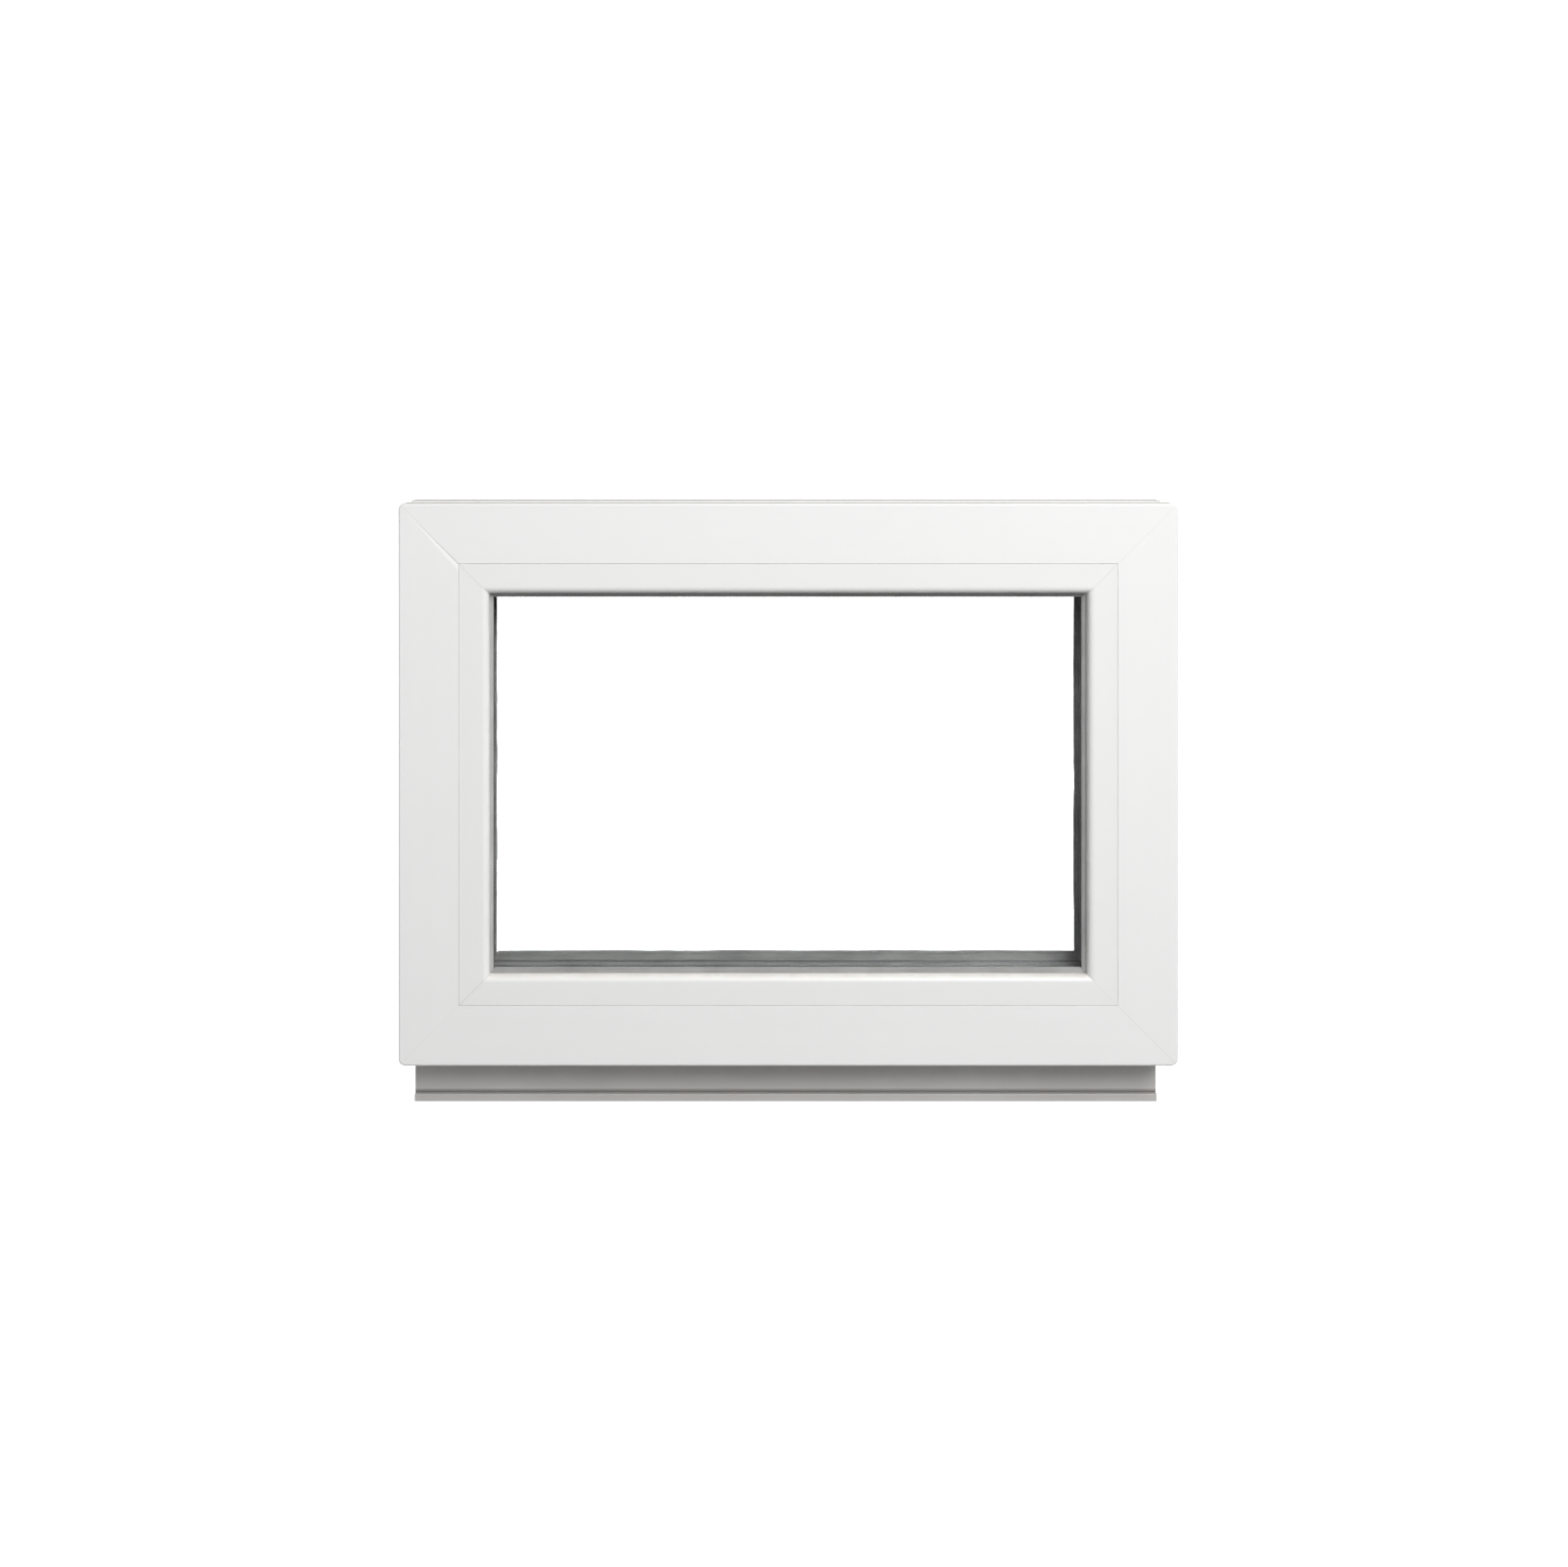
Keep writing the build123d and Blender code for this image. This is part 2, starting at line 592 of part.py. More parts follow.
with BuildSketch(Plane.YZ.offset(sill_left)) as sill_section:
    with BuildLine():
        Polyline(
            *[
                sill_point(drop, deep)
                for drop, deep in (
                    (-RECESS, SILL_FACE + HAIRLINE),
                    (-RECESS, SILL_FACE + HAIRLINE + LEG),
                    (0, SILL_FACE + HAIRLINE + LEG),
                    (0, CLIP_GROOVES[1][0] + FIT),
                    (-RECESS - CLIP_DEPTH + FIT, CLIP_GROOVES[1][0] + FIT),
                    (-RECESS - CLIP_DEPTH + FIT, CLIP_GROOVES[1][1] - FIT),
                    (0, CLIP_GROOVES[1][1] - FIT),
                    (0, SILL_BACK),
                    (SILL_HEIGHT, SILL_BACK),
                    (SILL_HEIGHT, FOOT_DEEP),
                    (FOOT_DROP, FOOT_DEEP),
                    (FOOT_DROP, SILL_FACE + FOOT_GROOVE),
                    (FOOT_DROP - FOOT_GROOVE, SILL_FACE + FOOT_GROOVE),
                    (FOOT_DROP - FOOT_GROOVE, SILL_FACE),
                    (0, SILL_FACE),
                )
            ],
            close=True,
        )
    make_face()
    inner_front = SILL_FACE + SILL_WALL
    inner_back = SILL_BACK - SILL_WALL
    inner_bottom = SILL_HEIGHT - SILL_WALL
    sill_chamber(SILL_WALL, inner_front, SILL_SHELF, SILL_RIB[0])
    sill_chamber(SILL_WALL, SILL_RIB[1], SILL_SHELF, inner_back)
    sill_chamber(SILL_SHELF + SILL_WEB, inner_front, inner_bottom, SILL_RIB[0])
    sill_chamber(SILL_SHELF + SILL_WEB, SILL_RIB[1], inner_bottom, inner_back)

with BuildPart() as sill_profile:
    extrude(sill_section.sketch, amount=sill_right - sill_left)
    foot_tip = sill_profile.edges().filter_by(Axis.X).group_by(Axis.Y)[0]
    fillet(foot_tip, radius=FOOT_RADIUS)
    from_below = [Vector(point.X, point.Y, 0) for point in sill_screw_points]
    drill(from_below, (0, 0, 1), ACCESS_RADIUS, SILL_SHELF + SILL_WEB + SILL_WALL)
    for point in sill_screw_points:
        with Locations(Plane(origin=point, z_dir=(0, 0, -1))):
            CounterSinkHole(
                SCREW_RADIUS + SCREW_PLAY, SCREW_HEAD_RADIUS + SCREW_PLAY, depth=SCREW_LENGTH
            )
save(sill_profile.part, "sill_profile")

with BuildPart() as sill_seal_strip:
    strip_origin = (sill_middle, FRONT + sum(STRIP) / 2, SILL_HEIGHT)
    with BuildSketch(Plane(origin=strip_origin)):
        Rectangle(sill_right - sill_left, STRIP[1] - STRIP[0])
    extrude(amount=RECESS)
save(sill_seal_strip.part, "sill_seal_strip")


# ---- drain covers on the weather face, each with a hinged flap ----
hood_middle = (HOOD_LOW + HOOD_HIGH) / 2
hood_tall = HOOD_HIGH - HOOD_LOW
hinge_y = BACK + HINGE_OUT


def drain_cover(x):
    """Hood over a drain slot, open below, with a seat for the flap and bores for its pins."""
    with BuildPart() as cover:
        face = Plane(origin=(x, BACK, hood_middle), x_dir=(-1, 0, 0), z_dir=(0, 1, 0))
        with BuildSketch(face) as outline:
            Rectangle(HOOD_WIDTH, hood_tall)
        extrude(outline.sketch, amount=HOOD_DEPTH)
        outermost = BACK + HOOD_DEPTH
        rim = cover.edges().filter_by_position(Axis.Y, outermost - TOUCH, outermost + TOUCH)
        fillet(rim, radius=HOOD_WALL)
        with BuildSketch(face.offset(HOOD_BACK)) as hollow:
            with Locations((0, -HOOD_WALL)):
                Rectangle(HOOD_WIDTH - 2 * HOOD_WALL, hood_tall)
        extrude(hollow.sketch, amount=HOOD_DEPTH - HOOD_WALL - HOOD_BACK, mode=Mode.SUBTRACT)
        with BuildSketch(face) as window:
            with Locations((0, SILL_HEIGHT + SLOT_IN - hood_middle)):
                SlotOverall(HOOD_WINDOW, SLOT_HEIGHT)
        extrude(window.sketch, amount=HOOD_BACK, mode=Mode.SUBTRACT)
        with BuildSketch(face) as prongs:
            with Locations(
                (PRONG_X, SILL_HEIGHT + SLOT_IN - hood_middle),
                (-PRONG_X, SILL_HEIGHT + SLOT_IN - hood_middle),
            ):
                Rectangle(HOOD_BACK, PRONG_TALL)
        extrude(prongs.sketch, amount=-WALL)
        bore = HOOD_WIDTH / 2 - HOOD_WALL
        with BuildSketch(Plane.YZ.offset(x - bore - PIN_BORE)) as pin_bore:
            with Locations((hinge_y, HINGE_HEIGHT)):
                Circle(PIN_RADIUS + PIN_PLAY)
        extrude(pin_bore.sketch, amount=2 * (bore + PIN_BORE), mode=Mode.SUBTRACT)
    return cover.part


def drain_flap(x):
    """Light non-return flap that hangs from two stub pins."""
    with BuildPart() as flap:
        section = Plane.YZ.offset(x)
        blade_y = hinge_y - FLAP_SET
        with BuildSketch(section) as blade:
            with Locations((blade_y, (HINGE_HEIGHT + FLAP_LOW) / 2)):
                Rectangle(FLAP_THICK, HINGE_HEIGHT - FLAP_LOW)
            with Locations((blade_y + FLAP_RIB / 2, FLAP_LOW + FLAP_RIB_TALL / 2)):
                Rectangle(FLAP_RIB, FLAP_RIB_TALL)
            with Locations((hinge_y, HINGE_HEIGHT)):
                Circle(BARREL_RADIUS)
        extrude(blade.sketch, amount=FLAP_WIDTH / 2, both=True)
        with BuildSketch(section) as pin:
            with Locations((hinge_y, HINGE_HEIGHT)):
                Circle(PIN_RADIUS)
        extrude(pin.sketch, amount=HOOD_WIDTH / 2 - HOOD_WALL + PIN_LENGTH, both=True)
    return flap.part


for cover_name, x in (("left", -DRAIN_SPREAD / 2), ("right", DRAIN_SPREAD / 2)):
    save(drain_cover(x), f"drain_cover_{cover_name}")
    save(drain_flap(x), f"drain_flap_{cover_name}")
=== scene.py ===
import math

import bmesh
import bpy
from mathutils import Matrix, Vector, noise


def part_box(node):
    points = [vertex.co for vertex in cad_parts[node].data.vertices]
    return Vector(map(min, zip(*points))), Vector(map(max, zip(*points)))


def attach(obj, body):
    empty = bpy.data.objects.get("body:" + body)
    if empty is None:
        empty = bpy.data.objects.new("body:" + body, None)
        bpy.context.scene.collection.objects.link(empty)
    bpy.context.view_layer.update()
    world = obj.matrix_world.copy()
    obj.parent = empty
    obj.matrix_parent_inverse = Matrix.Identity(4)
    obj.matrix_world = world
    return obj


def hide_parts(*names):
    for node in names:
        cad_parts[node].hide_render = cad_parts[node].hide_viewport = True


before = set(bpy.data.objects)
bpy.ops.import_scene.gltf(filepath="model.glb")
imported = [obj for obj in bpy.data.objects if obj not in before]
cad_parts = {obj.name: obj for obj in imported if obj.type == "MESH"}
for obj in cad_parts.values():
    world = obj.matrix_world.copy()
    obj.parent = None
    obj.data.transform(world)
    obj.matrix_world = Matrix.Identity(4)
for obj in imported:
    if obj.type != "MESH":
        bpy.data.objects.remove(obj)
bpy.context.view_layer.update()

# The looks of a white fixed light with triple glazing on a grey sill profile. Metres:
# +X is to the right as seen from the room, +Y runs from the room to the weather, +Z is up.
# Bars are described by "inside", the distance inward from the frame's outer edge, and by
# "deep", the distance from the room face towards the weather.
MM = 0.001

# ---- places that come from the frame ----
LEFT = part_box("frame_left")[0].x
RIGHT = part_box("frame_right")[1].x
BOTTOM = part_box("frame_bottom")[0].z
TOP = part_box("frame_top")[1].z
ROOM_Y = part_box("frame_bottom")[0].y
WIDTH = RIGHT - LEFT
HEIGHT = TOP - BOTTOM
MIDDLE_Z = (TOP + BOTTOM) / 2
GLASS_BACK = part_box("glass_pane_weather")[1].y - ROOM_Y
FLANGE_FACE = GLASS_BACK + 4 * MM  # room side of the frame's weather flange
SPACER_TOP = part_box("spacer_room_bottom")[1].z - BOTTOM
CAVITIES = {
    "room": (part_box("glass_pane_room")[1].y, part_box("glass_pane_middle")[0].y),
    "weather": (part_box("glass_pane_middle")[1].y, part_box("glass_pane_weather")[0].y),
}

# ---- sizes of the pieces made here ----
LIP_TIP = {"bottom": 75.4 * MM, "top": 71.5 * MM, "left": 70.4 * MM, "right": 71.6 * MM}
LIP_JOIN = 71 * MM  # where a longer lip stops against its neighbours
LIP_WAVE = 0.35 * MM
LIP_STEP = 4 * MM
LIP_CALM = 6  # power that stills the wave towards the mitres, and only near them
SWELL_SCALE = 22.0  # long waves of the lip, and how strong they are
SWELL_SHARE = 1.3
RIPPLE_SCALE = 75.0  # short ones
RIPPLE_SHARE = 0.6
GLASS_GAP = 0.05 * MM  # keeps touching faces apart
BUTYL_RADIUS = 0.85 * MM
BUTYL_LIFT = 0.3 * MM
BUTYL_WAVE = 1.4 * MM
BUTYL_WAVE_SCALE = 22.0
BUTYL_STEP = 2.5 * MM
BUTYL_SIDES = 8
HOLE_PITCH = 4.4 * MM
HOLE_RADIUS = 0.45 * MM
HOLE_RISE = 0.06 * MM
HOLE_SIDES = 10

# ---- sizes of the marks on the surfaces ----
SEAM_LINE = 0.25 * MM
CLEANED_TAPER = 0.1  # width of the cleaned band by its distance from the corner
LINE_STRETCH = 0.994  # share of the die lines' change that is taken away along a bar
BAND_SCALE = 0.12  # fineness of the broad bands, by that of the fine lines
DUST_SLOPES = (0.4, 0.9)  # how far up a face looks where dust starts to lie, and lies fully
DUST_SPECKS = 90.0
FRONT_EDGE_SHADE = (6 * MM, 10 * MM)  # deep, over which the painted shade line of the front edge thins out
BACK_EDGE_SHADE = (48 * MM, 60 * MM)  # deep, over which that of the back edge gathers
LEAST_DUST = 0.2
# Painted shade along the top edge of the frame's rear nose:
EDGE_SHADE_WIDTH = 1.3 * MM
EDGE_SHADE_FADE = 0.8  # share of that width with full painted shade
EDGE_SHADE_DEPTHS = (40 * MM, 48 * MM)  # where the rear nose starts
FOOT_DROP = 31.5 * MM  # top of the sill profile's foot, below the frame
FOOT_EDGE = 0.3 * MM
GROOVE_SHADE = (1.2 * MM, 3.6 * MM)  # above the foot, over which the painted shade fades

# ---- camera and light ----
CAMERA_DISTANCE = 1.449
CAMERA_LEFT = 0.0497
CAMERA_HEIGHT = 0.4958
FRAMING = Vector((-0.0033, 0.2175))  # middle of the picture, from the frame's underside
LENS = 43.3
SENSOR = 36.0
BACKDROP = 1.7  # how bright the surround looks
AMBIENT = 0.26  # how strongly it lights
DARK_ROOM = 0.05  # what gloss and glass reflect of it
SOFTBOXES = {  # place, width and height, power
    "key_light": ((1.0, -2.1, 1.95), (1.6, 1.5), 77.5),
    "fill_light": ((-1.6, -2.6, 0.9), (1.2, 1.2), 8.5),
    "back_light": ((-0.9, 3.3, 1.5), (2.4, 2.0), 78.0),
}
FLOOR_REACH = 9.0
FLOOR_DROP = 0.5 * MM


class Side:
    """One side of the window: the middle of its outer edge, and its directions."""

    def __init__(self, x, z, inward, run, length):
        self.middle = Vector((x, ROOM_Y, z))
        self.inward = Vector(inward)
        self.run = Vector(run)
        self.length = length

    def point(self, along, inside, deep):
        """A point by its distance along the run, inward from the edge and deep."""
        return self.middle + self.run * along + self.inward * inside + Vector((0, deep, 0))


SIDES = {
    "bottom": Side(0, BOTTOM, (0, 0, 1), (-1, 0, 0), WIDTH),
    "top": Side(0, TOP, (0, 0, -1), (1, 0, 0), WIDTH),
    "left": Side(LEFT, MIDDLE_Z, (1, 0, 0), (0, 0, 1), HEIGHT),
    "right": Side(RIGHT, MIDDLE_Z, (-1, 0, 0), (0, 0, -1), HEIGHT),
}


# ---- node helpers ----
def node(tree, kind, inputs=None, **settings):
    """Adds a node. An input given as a socket is linked, and any other value is set."""
    made = tree.nodes.new(kind)
    for name, value in settings.items():
        setattr(made, name, value)
    for name, value in (inputs or {}).items():
        if isinstance(value, bpy.types.NodeSocket):
            tree.links.new(value, made.inputs[name])
        else:
            made.inputs[name].default_value = value
    return made


def math_node(tree, operation, first, second=0.0, clamp=False):
    """The result of one sum on two values."""
    made = node(tree, "ShaderNodeMath", {0: first, 1: second}, operation=operation, use_clamp=clamp)
    return made.outputs[0]


def vector_node(tree, operation, first, second):
    """The result of one sum on two vectors."""
    made = node(tree, "ShaderNodeVectorMath", {0: first, 1: second}, operation=operation)
    return made.outputs[0]


def split(tree, vector):
    """The X, Y and Z of a vector."""
    return node(tree, "ShaderNodeSeparateXYZ", {0: vector}).outputs


def remap(tree, value, low, high, to_low=0.0, to_high=1.0):
    """Straight-line change of range, held inside its two ends."""
    ends = {"From Min": low, "From Max": high, "To Min": to_low, "To Max": to_high}
    return node(tree, "ShaderNodeMapRange", {"Value": value, **ends}).outputs["Result"]


def noise_node(tree, vector, scale, detail=2.0, distortion=0.0):
    """Cloudy pattern between 0 and 1, about 0.5 in the middle."""
    inputs = {"Vector": vector, "Scale": scale, "Detail": detail, "Distortion": distortion}
    return node(tree, "ShaderNodeTexNoise", inputs).outputs["Fac"]


def mix_colours(tree, mask, first, second):
    """Colour that goes from the first to the second as the mask rises."""
    return node(tree, "ShaderNodeMix", {0: mask, 6: first, 7: second}, data_type="RGBA").outputs[2]


def blend_values(tree, mask, first, second):
    """Value that goes from the first to the second as the mask rises."""
    return node(tree, "ShaderNodeMix", {0: mask, 2: first, 3: second}).outputs[0]


def upper_left(tree, top, right):
    """Mask of the window's top left quarter."""
    return math_node(tree, "MULTIPLY", top, math_node(tree, "SUBTRACT", 1.0, right))


def bump(tree, height, strength, distance, under=None):
    """Relief from a height, on top of the relief under it if there is one."""
    inputs = {"Height": height, "Strength": strength, "Distance": distance}
    if under:
        inputs["Normal"] = under
    return node(tree, "ShaderNodeBump", inputs).outputs["Normal"]


def new_group(name, inputs, outputs):
    """An empty shader group with named sockets, and its input and output nodes."""
    group = bpy.data.node_groups.new(name, "ShaderNodeTree")
    for label, kind, value in inputs:
        socket = group.interface.new_socket(label, in_out="INPUT", socket_type=f"NodeSocket{kind}")
        socket.default_value = value
    for label in outputs:
        group.interface.new_socket(label, in_out="OUTPUT", socket_type="NodeSocketFloat")
    return group, node(group, "NodeGroupInput"), node(group, "NodeGroupOutput")


def use_group(tree, group, **values):
    """Places a shader group. Its socket names are written with _ for a space here."""
    made = node(tree, "ShaderNodeGroup", node_tree=group)
    for label, value in values.items():
        socket = made.inputs[label.replace("_", " ")]
        if isinstance(value, bpy.types.NodeSocket):
            tree.links.new(value, socket)
        else:
            socket.default_value = value
    return made.outputs


# ---- shared effects ----
def build_extrusion_lines():
    """Fine lines that the die leaves along an extruded bar."""
    group, given, result = new_group(
        "extrusion_lines",
        [
            ("Vector", "Vector", (0, 0, 0)),
            ("Run", "Vector", (1, 0, 0)),
            ("Fineness", "Float", 700.0),
        ],
        ["Lines", "Bands"],
    )
    shrink = vector_node(group, "MULTIPLY", given.outputs["Run"], (-LINE_STRETCH,) * 3)
    factor = vector_node(group, "ADD", shrink, (1, 1, 1))
    drawn = vector_node(group, "MULTIPLY", given.outputs["Vector"], factor)
    fine = noise_node(group, drawn, given.outputs["Fineness"], 3.0)
    broad_scale = math_node(group, "MULTIPLY", given.outputs["Fineness"], BAND_SCALE)
    broad = noise_node(group, drawn, broad_scale, 1.0)
    group.links.new(fine, result.inputs["Lines"])
    group.links.new(broad, result.inputs["Bands"])
    return group


def build_moulded_skin():
    """Slow mottle, fine grain and wiped patches of a plastic or rubber skin."""
    group, given, result = new_group(
        "moulded_skin",
        [
            ("Vector", "Vector", (0, 0, 0)),
            ("Mottle Scale", "Float", 14.0),
            ("Grain Scale", "Float", 1500.0),
        ],
        ["Mottle", "Grain", "Wiped"],
    )
    mottle = noise_node(group, given.outputs["Vector"], given.outputs["Mottle Scale"], 4.0)
    grain = noise_node(group, given.outputs["Vector"], given.outputs["Grain Scale"], 2.0)
    patches = noise_node(group, given.outputs["Vector"], 5.0, 1.0)
    wiped = remap(group, patches, 0.25, 0.75)
    for label, socket in (("Mottle", mottle), ("Grain", grain), ("Wiped", wiped)):
        group.links.new(socket, result.inputs[label])
    return group


def build_settled_dust():
    """Mask of the dust that settles on faces turned upward."""
    group, given, result = new_group(
        "settled_dust",
        [("Vector", "Vector", (0, 0, 0)), ("Amount", "Float", 0.3)],
        ["Dust"],
    )
    normal = node(group, "ShaderNodeNewGeometry").outputs["Normal"]
    facing = remap(group, split(group, normal)["Z"], *DUST_SLOPES)
    clouds = noise_node(group, given.outputs["Vector"], DUST_SPECKS, 5.0)
    specks = remap(group, clouds, 0.3, 0.7, 0.7, 1.0)
    settled = math_node(group, "MULTIPLY", facing, specks)
    dust = math_node(group, "MULTIPLY", settled, given.outputs["Amount"], clamp=True)
    group.links.new(dust, result.inputs["Dust"])
    return group


def build_weld_seam():
    """Masks of the line where two mitred bars meet and of the painted highlight on the band cleaned
    beside a weld, at the upper left only.
    """
    group, given, result = new_group(
        "weld_seam",
        [
            ("Vector", "Vector", (0, 0, 0)),
            ("Top Left", "Float", 0.1),
            ("Top Right", "Float", 0.1),
            ("Low Left", "Float", 0.1),
            ("Low Right", "Float", 0.1),
            ("Highlight", "Float", 0.0),
        ],
        ["Seam", "Highlight"],
    )
    parts = split(group, given.outputs["Vector"])
    height = math_node(group, "SUBTRACT", parts["Z"], MIDDLE_Z)
    across = math_node(group, "ABSOLUTE", parts["X"])
    from_side = math_node(group, "SUBTRACT", WIDTH / 2, across)
    from_end = math_node(group, "SUBTRACT", HEIGHT / 2, math_node(group, "ABSOLUTE", height))
    past_mitre = math_node(group, "SUBTRACT", from_end, from_side)
    off_mitre = math_node(group, "ABSOLUTE", past_mitre)
    line = remap(group, off_mitre, SEAM_LINE, 2 * SEAM_LINE, 1.0, 0.0)
    right = math_node(group, "GREATER_THAN", parts["X"], 0.0)
    top = math_node(group, "GREATER_THAN", height, 0.0)
    upper = blend_values(group, right, given.outputs["Top Left"], given.outputs["Top Right"])
    lower = blend_values(group, right, given.outputs["Low Left"], given.outputs["Low Right"])
    strength = blend_values(group, top, lower, upper)
    seam = math_node(group, "MULTIPLY", line, strength)
    # The cleaned band, kept to the upper left, carries a painted highlight.
    band = math_node(group, "MULTIPLY", from_side, CLEANED_TAPER)
    beyond = math_node(group, "SUBTRACT", past_mitre, band)
    past_seam = math_node(group, "GREATER_THAN", past_mitre, SEAM_LINE)
    cleaned = remap(group, beyond, 0.0, SEAM_LINE, 1.0, 0.0)
    cleaned = math_node(group, "MULTIPLY", cleaned, past_seam)
    cleaned = math_node(group, "MULTIPLY", cleaned, upper_left(group, top, right))
    cleaned = math_node(group, "MULTIPLY", cleaned, given.outputs["Highlight"])
    group.links.new(seam, result.inputs["Seam"])
    group.links.new(cleaned, result.inputs["Highlight"])
    return group


def build_zinc_spangle():
    """Cell pattern of hot-dip zinc, with a tone and an edge for each crystal."""
    group, given, result = new_group(
        "zinc_spangle",
        [("Vector", "Vector", (0, 0, 0)), ("Cells", "Float", 240.0)],
        ["Tone", "Edge"],
    )
    inputs = {"Vector": given.outputs["Vector"], "Scale": given.outputs["Cells"], "Randomness": 1.0}
    cells = node(group, "ShaderNodeTexVoronoi", inputs)
    grey = node(group, "ShaderNodeRGBToBW", {0: cells.outputs["Color"]}).outputs[0]
    clouds = noise_node(group, given.outputs["Vector"], 300.0, 2.0)
    tone = blend_values(group, 0.3, grey, clouds)
    group.links.new(tone, result.inputs["Tone"])
    group.links.new(cells.outputs["Distance"], result.inputs["Edge"])
    return group


EXTRUSION_LINES = build_extrusion_lines()
MOULDED_SKIN = build_moulded_skin()
SETTLED_DUST = build_settled_dust()
WELD_SEAM = build_weld_seam()
ZINC_SPANGLE = build_zinc_spangle()

# Directions in which a bar and its die lines run.
LEVEL = (1, 0, 0)
UPRIGHT = (0, 0, 1)

# ---- colours ----
FRAME_LIGHT = (0.853, 0.852, 0.848, 1)
FRAME_DARK = (0.843, 0.842, 0.838, 1)
BEAD_LIGHT = (0.838, 0.837, 0.830, 1)
BEAD_DARK = (0.828, 0.827, 0.820, 1)
# Dark colour of the mitre seams, also used for the painted shade along the top rear edge.
SEAM_AND_EDGE_SHADE_COLOUR = (0.42, 0.42, 0.40, 1)
# Colour of the painted highlight on the cleaned weld band.
FACET_HIGHLIGHT_COLOUR = (0.93, 0.93, 0.93, 1)
# Colour of dust, also used for the painted shade on the frame's top faces.
DUST_AND_SHADE_COLOUR = (0.62, 0.60, 0.56, 1)
# Colour of the painted shade above the sill's foot.
GROOVE_SHADE_COLOUR = (0.20, 0.19, 0.18, 1)
SILL_LIGHT = (0.63, 0.625, 0.61, 1)
SILL_DARK = (0.54, 0.53, 0.51, 1)
GLASS_CLEARER = (0.990, 0.996, 0.992, 1)
GLASS_GREENER = (0.984, 0.990, 0.986, 1)
SPACER_LIGHT = (0.075, 0.076, 0.078, 1)
SPACER_DARK = (0.038, 0.039, 0.040, 1)
SEALANT_LIGHT = (0.022, 0.022, 0.022, 1)
SEALANT_DARK = (0.006, 0.006, 0.006, 1)
FOAM_LIGHT = (0.16, 0.16, 0.16, 1)
FOAM_DARK = (0.05, 0.05, 0.05, 1)
PAPER_LIGHT = (0.84, 0.84, 0.84, 1)
PAPER_DARK = (0.80, 0.80, 0.80, 1)
PAPER_UNSEEN = (0.3, 0.3, 0.3, 1)  # the floor as the object sees it

# Light and dark tone of each colour of rubber, zinc and moulded plastic.
# The bead gasket is one rubber in lit and shaded copies: the darker level tone is painted shade, the
# paler upright tone painted light.
GASKET_RUBBER_SHADED = ((0.34, 0.34, 0.335, 1), (0.23, 0.23, 0.225, 1))
GASKET_RUBBER_LIT = ((0.50, 0.50, 0.495, 1), (0.36, 0.36, 0.355, 1))
WEATHER_RUBBER = ((0.125, 0.125, 0.123, 1), (0.065, 0.065, 0.064, 1))
GALVANISED_STEEL = ((0.62, 0.64, 0.66, 1), (0.42, 0.44, 0.46, 1))
SCREW_ZINC = ((0.70, 0.70, 0.68, 1), (0.48, 0.49, 0.50, 1))
KEY_PLASTIC = ((0.10, 0.10, 0.10, 1), (0.06, 0.06, 0.06, 1))
PACKER_PLASTIC = ((0.06, 0.20, 0.50, 1), (0.04, 0.14, 0.38, 1))
CAP_PLASTIC = ((0.84, 0.84, 0.83, 1), (0.79, 0.79, 0.78, 1))
DESICCANT = ((0.36, 0.35, 0.32, 1), (0.26, 0.25, 0.23, 1))

# How strongly the mitre shows at each corner, and the painted highlight on the cleaned band at the
# upper left.
WELD_SEAMS = {
    "Top_Left": 0.3,
    "Top_Right": 0.14,
    "Low_Left": 0.06,
    "Low_Right": 0.2,
    "Highlight": 0.55,
}
BEAD_SEAMS = {"Top_Left": 0.16, "Top_Right": 0.1, "Low_Left": 0.2, "Low_Right": 0.04}


# ---- materials ----
def start_material(name):
    """A new material, its node tree, its shader and the Object coordinates."""
    material = bpy.data.materials.new(name)
    material.use_nodes = True
    tree = material.node_tree
    shader = tree.nodes["Principled BSDF"]
    place = node(tree, "ShaderNodeTexCoord").outputs["Object"]
    return material, tree, shader, place


def wire(tree, shader, **sockets):
    """Links sockets to the shader's inputs, whose names are written with _ for a space."""
    for label, socket in sockets.items():
        tree.links.new(socket, shader.inputs[label.replace("_", " ")])


def dust_and_edge_shade_amount(tree, place):
    """How much of the dust colour lies on the outer faces: a little dust all over, and painted shade
    as more of it along their front and back edges.
    """
    deep = math_node(tree, "SUBTRACT", split(tree, place)["Y"], ROOM_Y)
    front = remap(tree, deep, *FRONT_EDGE_SHADE, 1.0, LEAST_DUST)
    back = remap(tree, deep, *BACK_EDGE_SHADE, LEAST_DUST, 0.95)
    return math_node(tree, "MAXIMUM", front, back)


def rear_edge_painted_shade(tree, place):
    """Painted shade: a dark line along the top edge of the frame's rear nose."""
    parts = split(tree, place)
    deep = math_node(tree, "SUBTRACT", parts["Y"], ROOM_Y)
    below_top = math_node(tree, "SUBTRACT", TOP, parts["Z"])
    at_edge = remap(tree, below_top, EDGE_SHADE_WIDTH * EDGE_SHADE_FADE, EDGE_SHADE_WIDTH, 0.7, 0.0)
    return math_node(tree, "MULTIPLY", at_edge, remap(tree, deep, *EDGE_SHADE_DEPTHS))


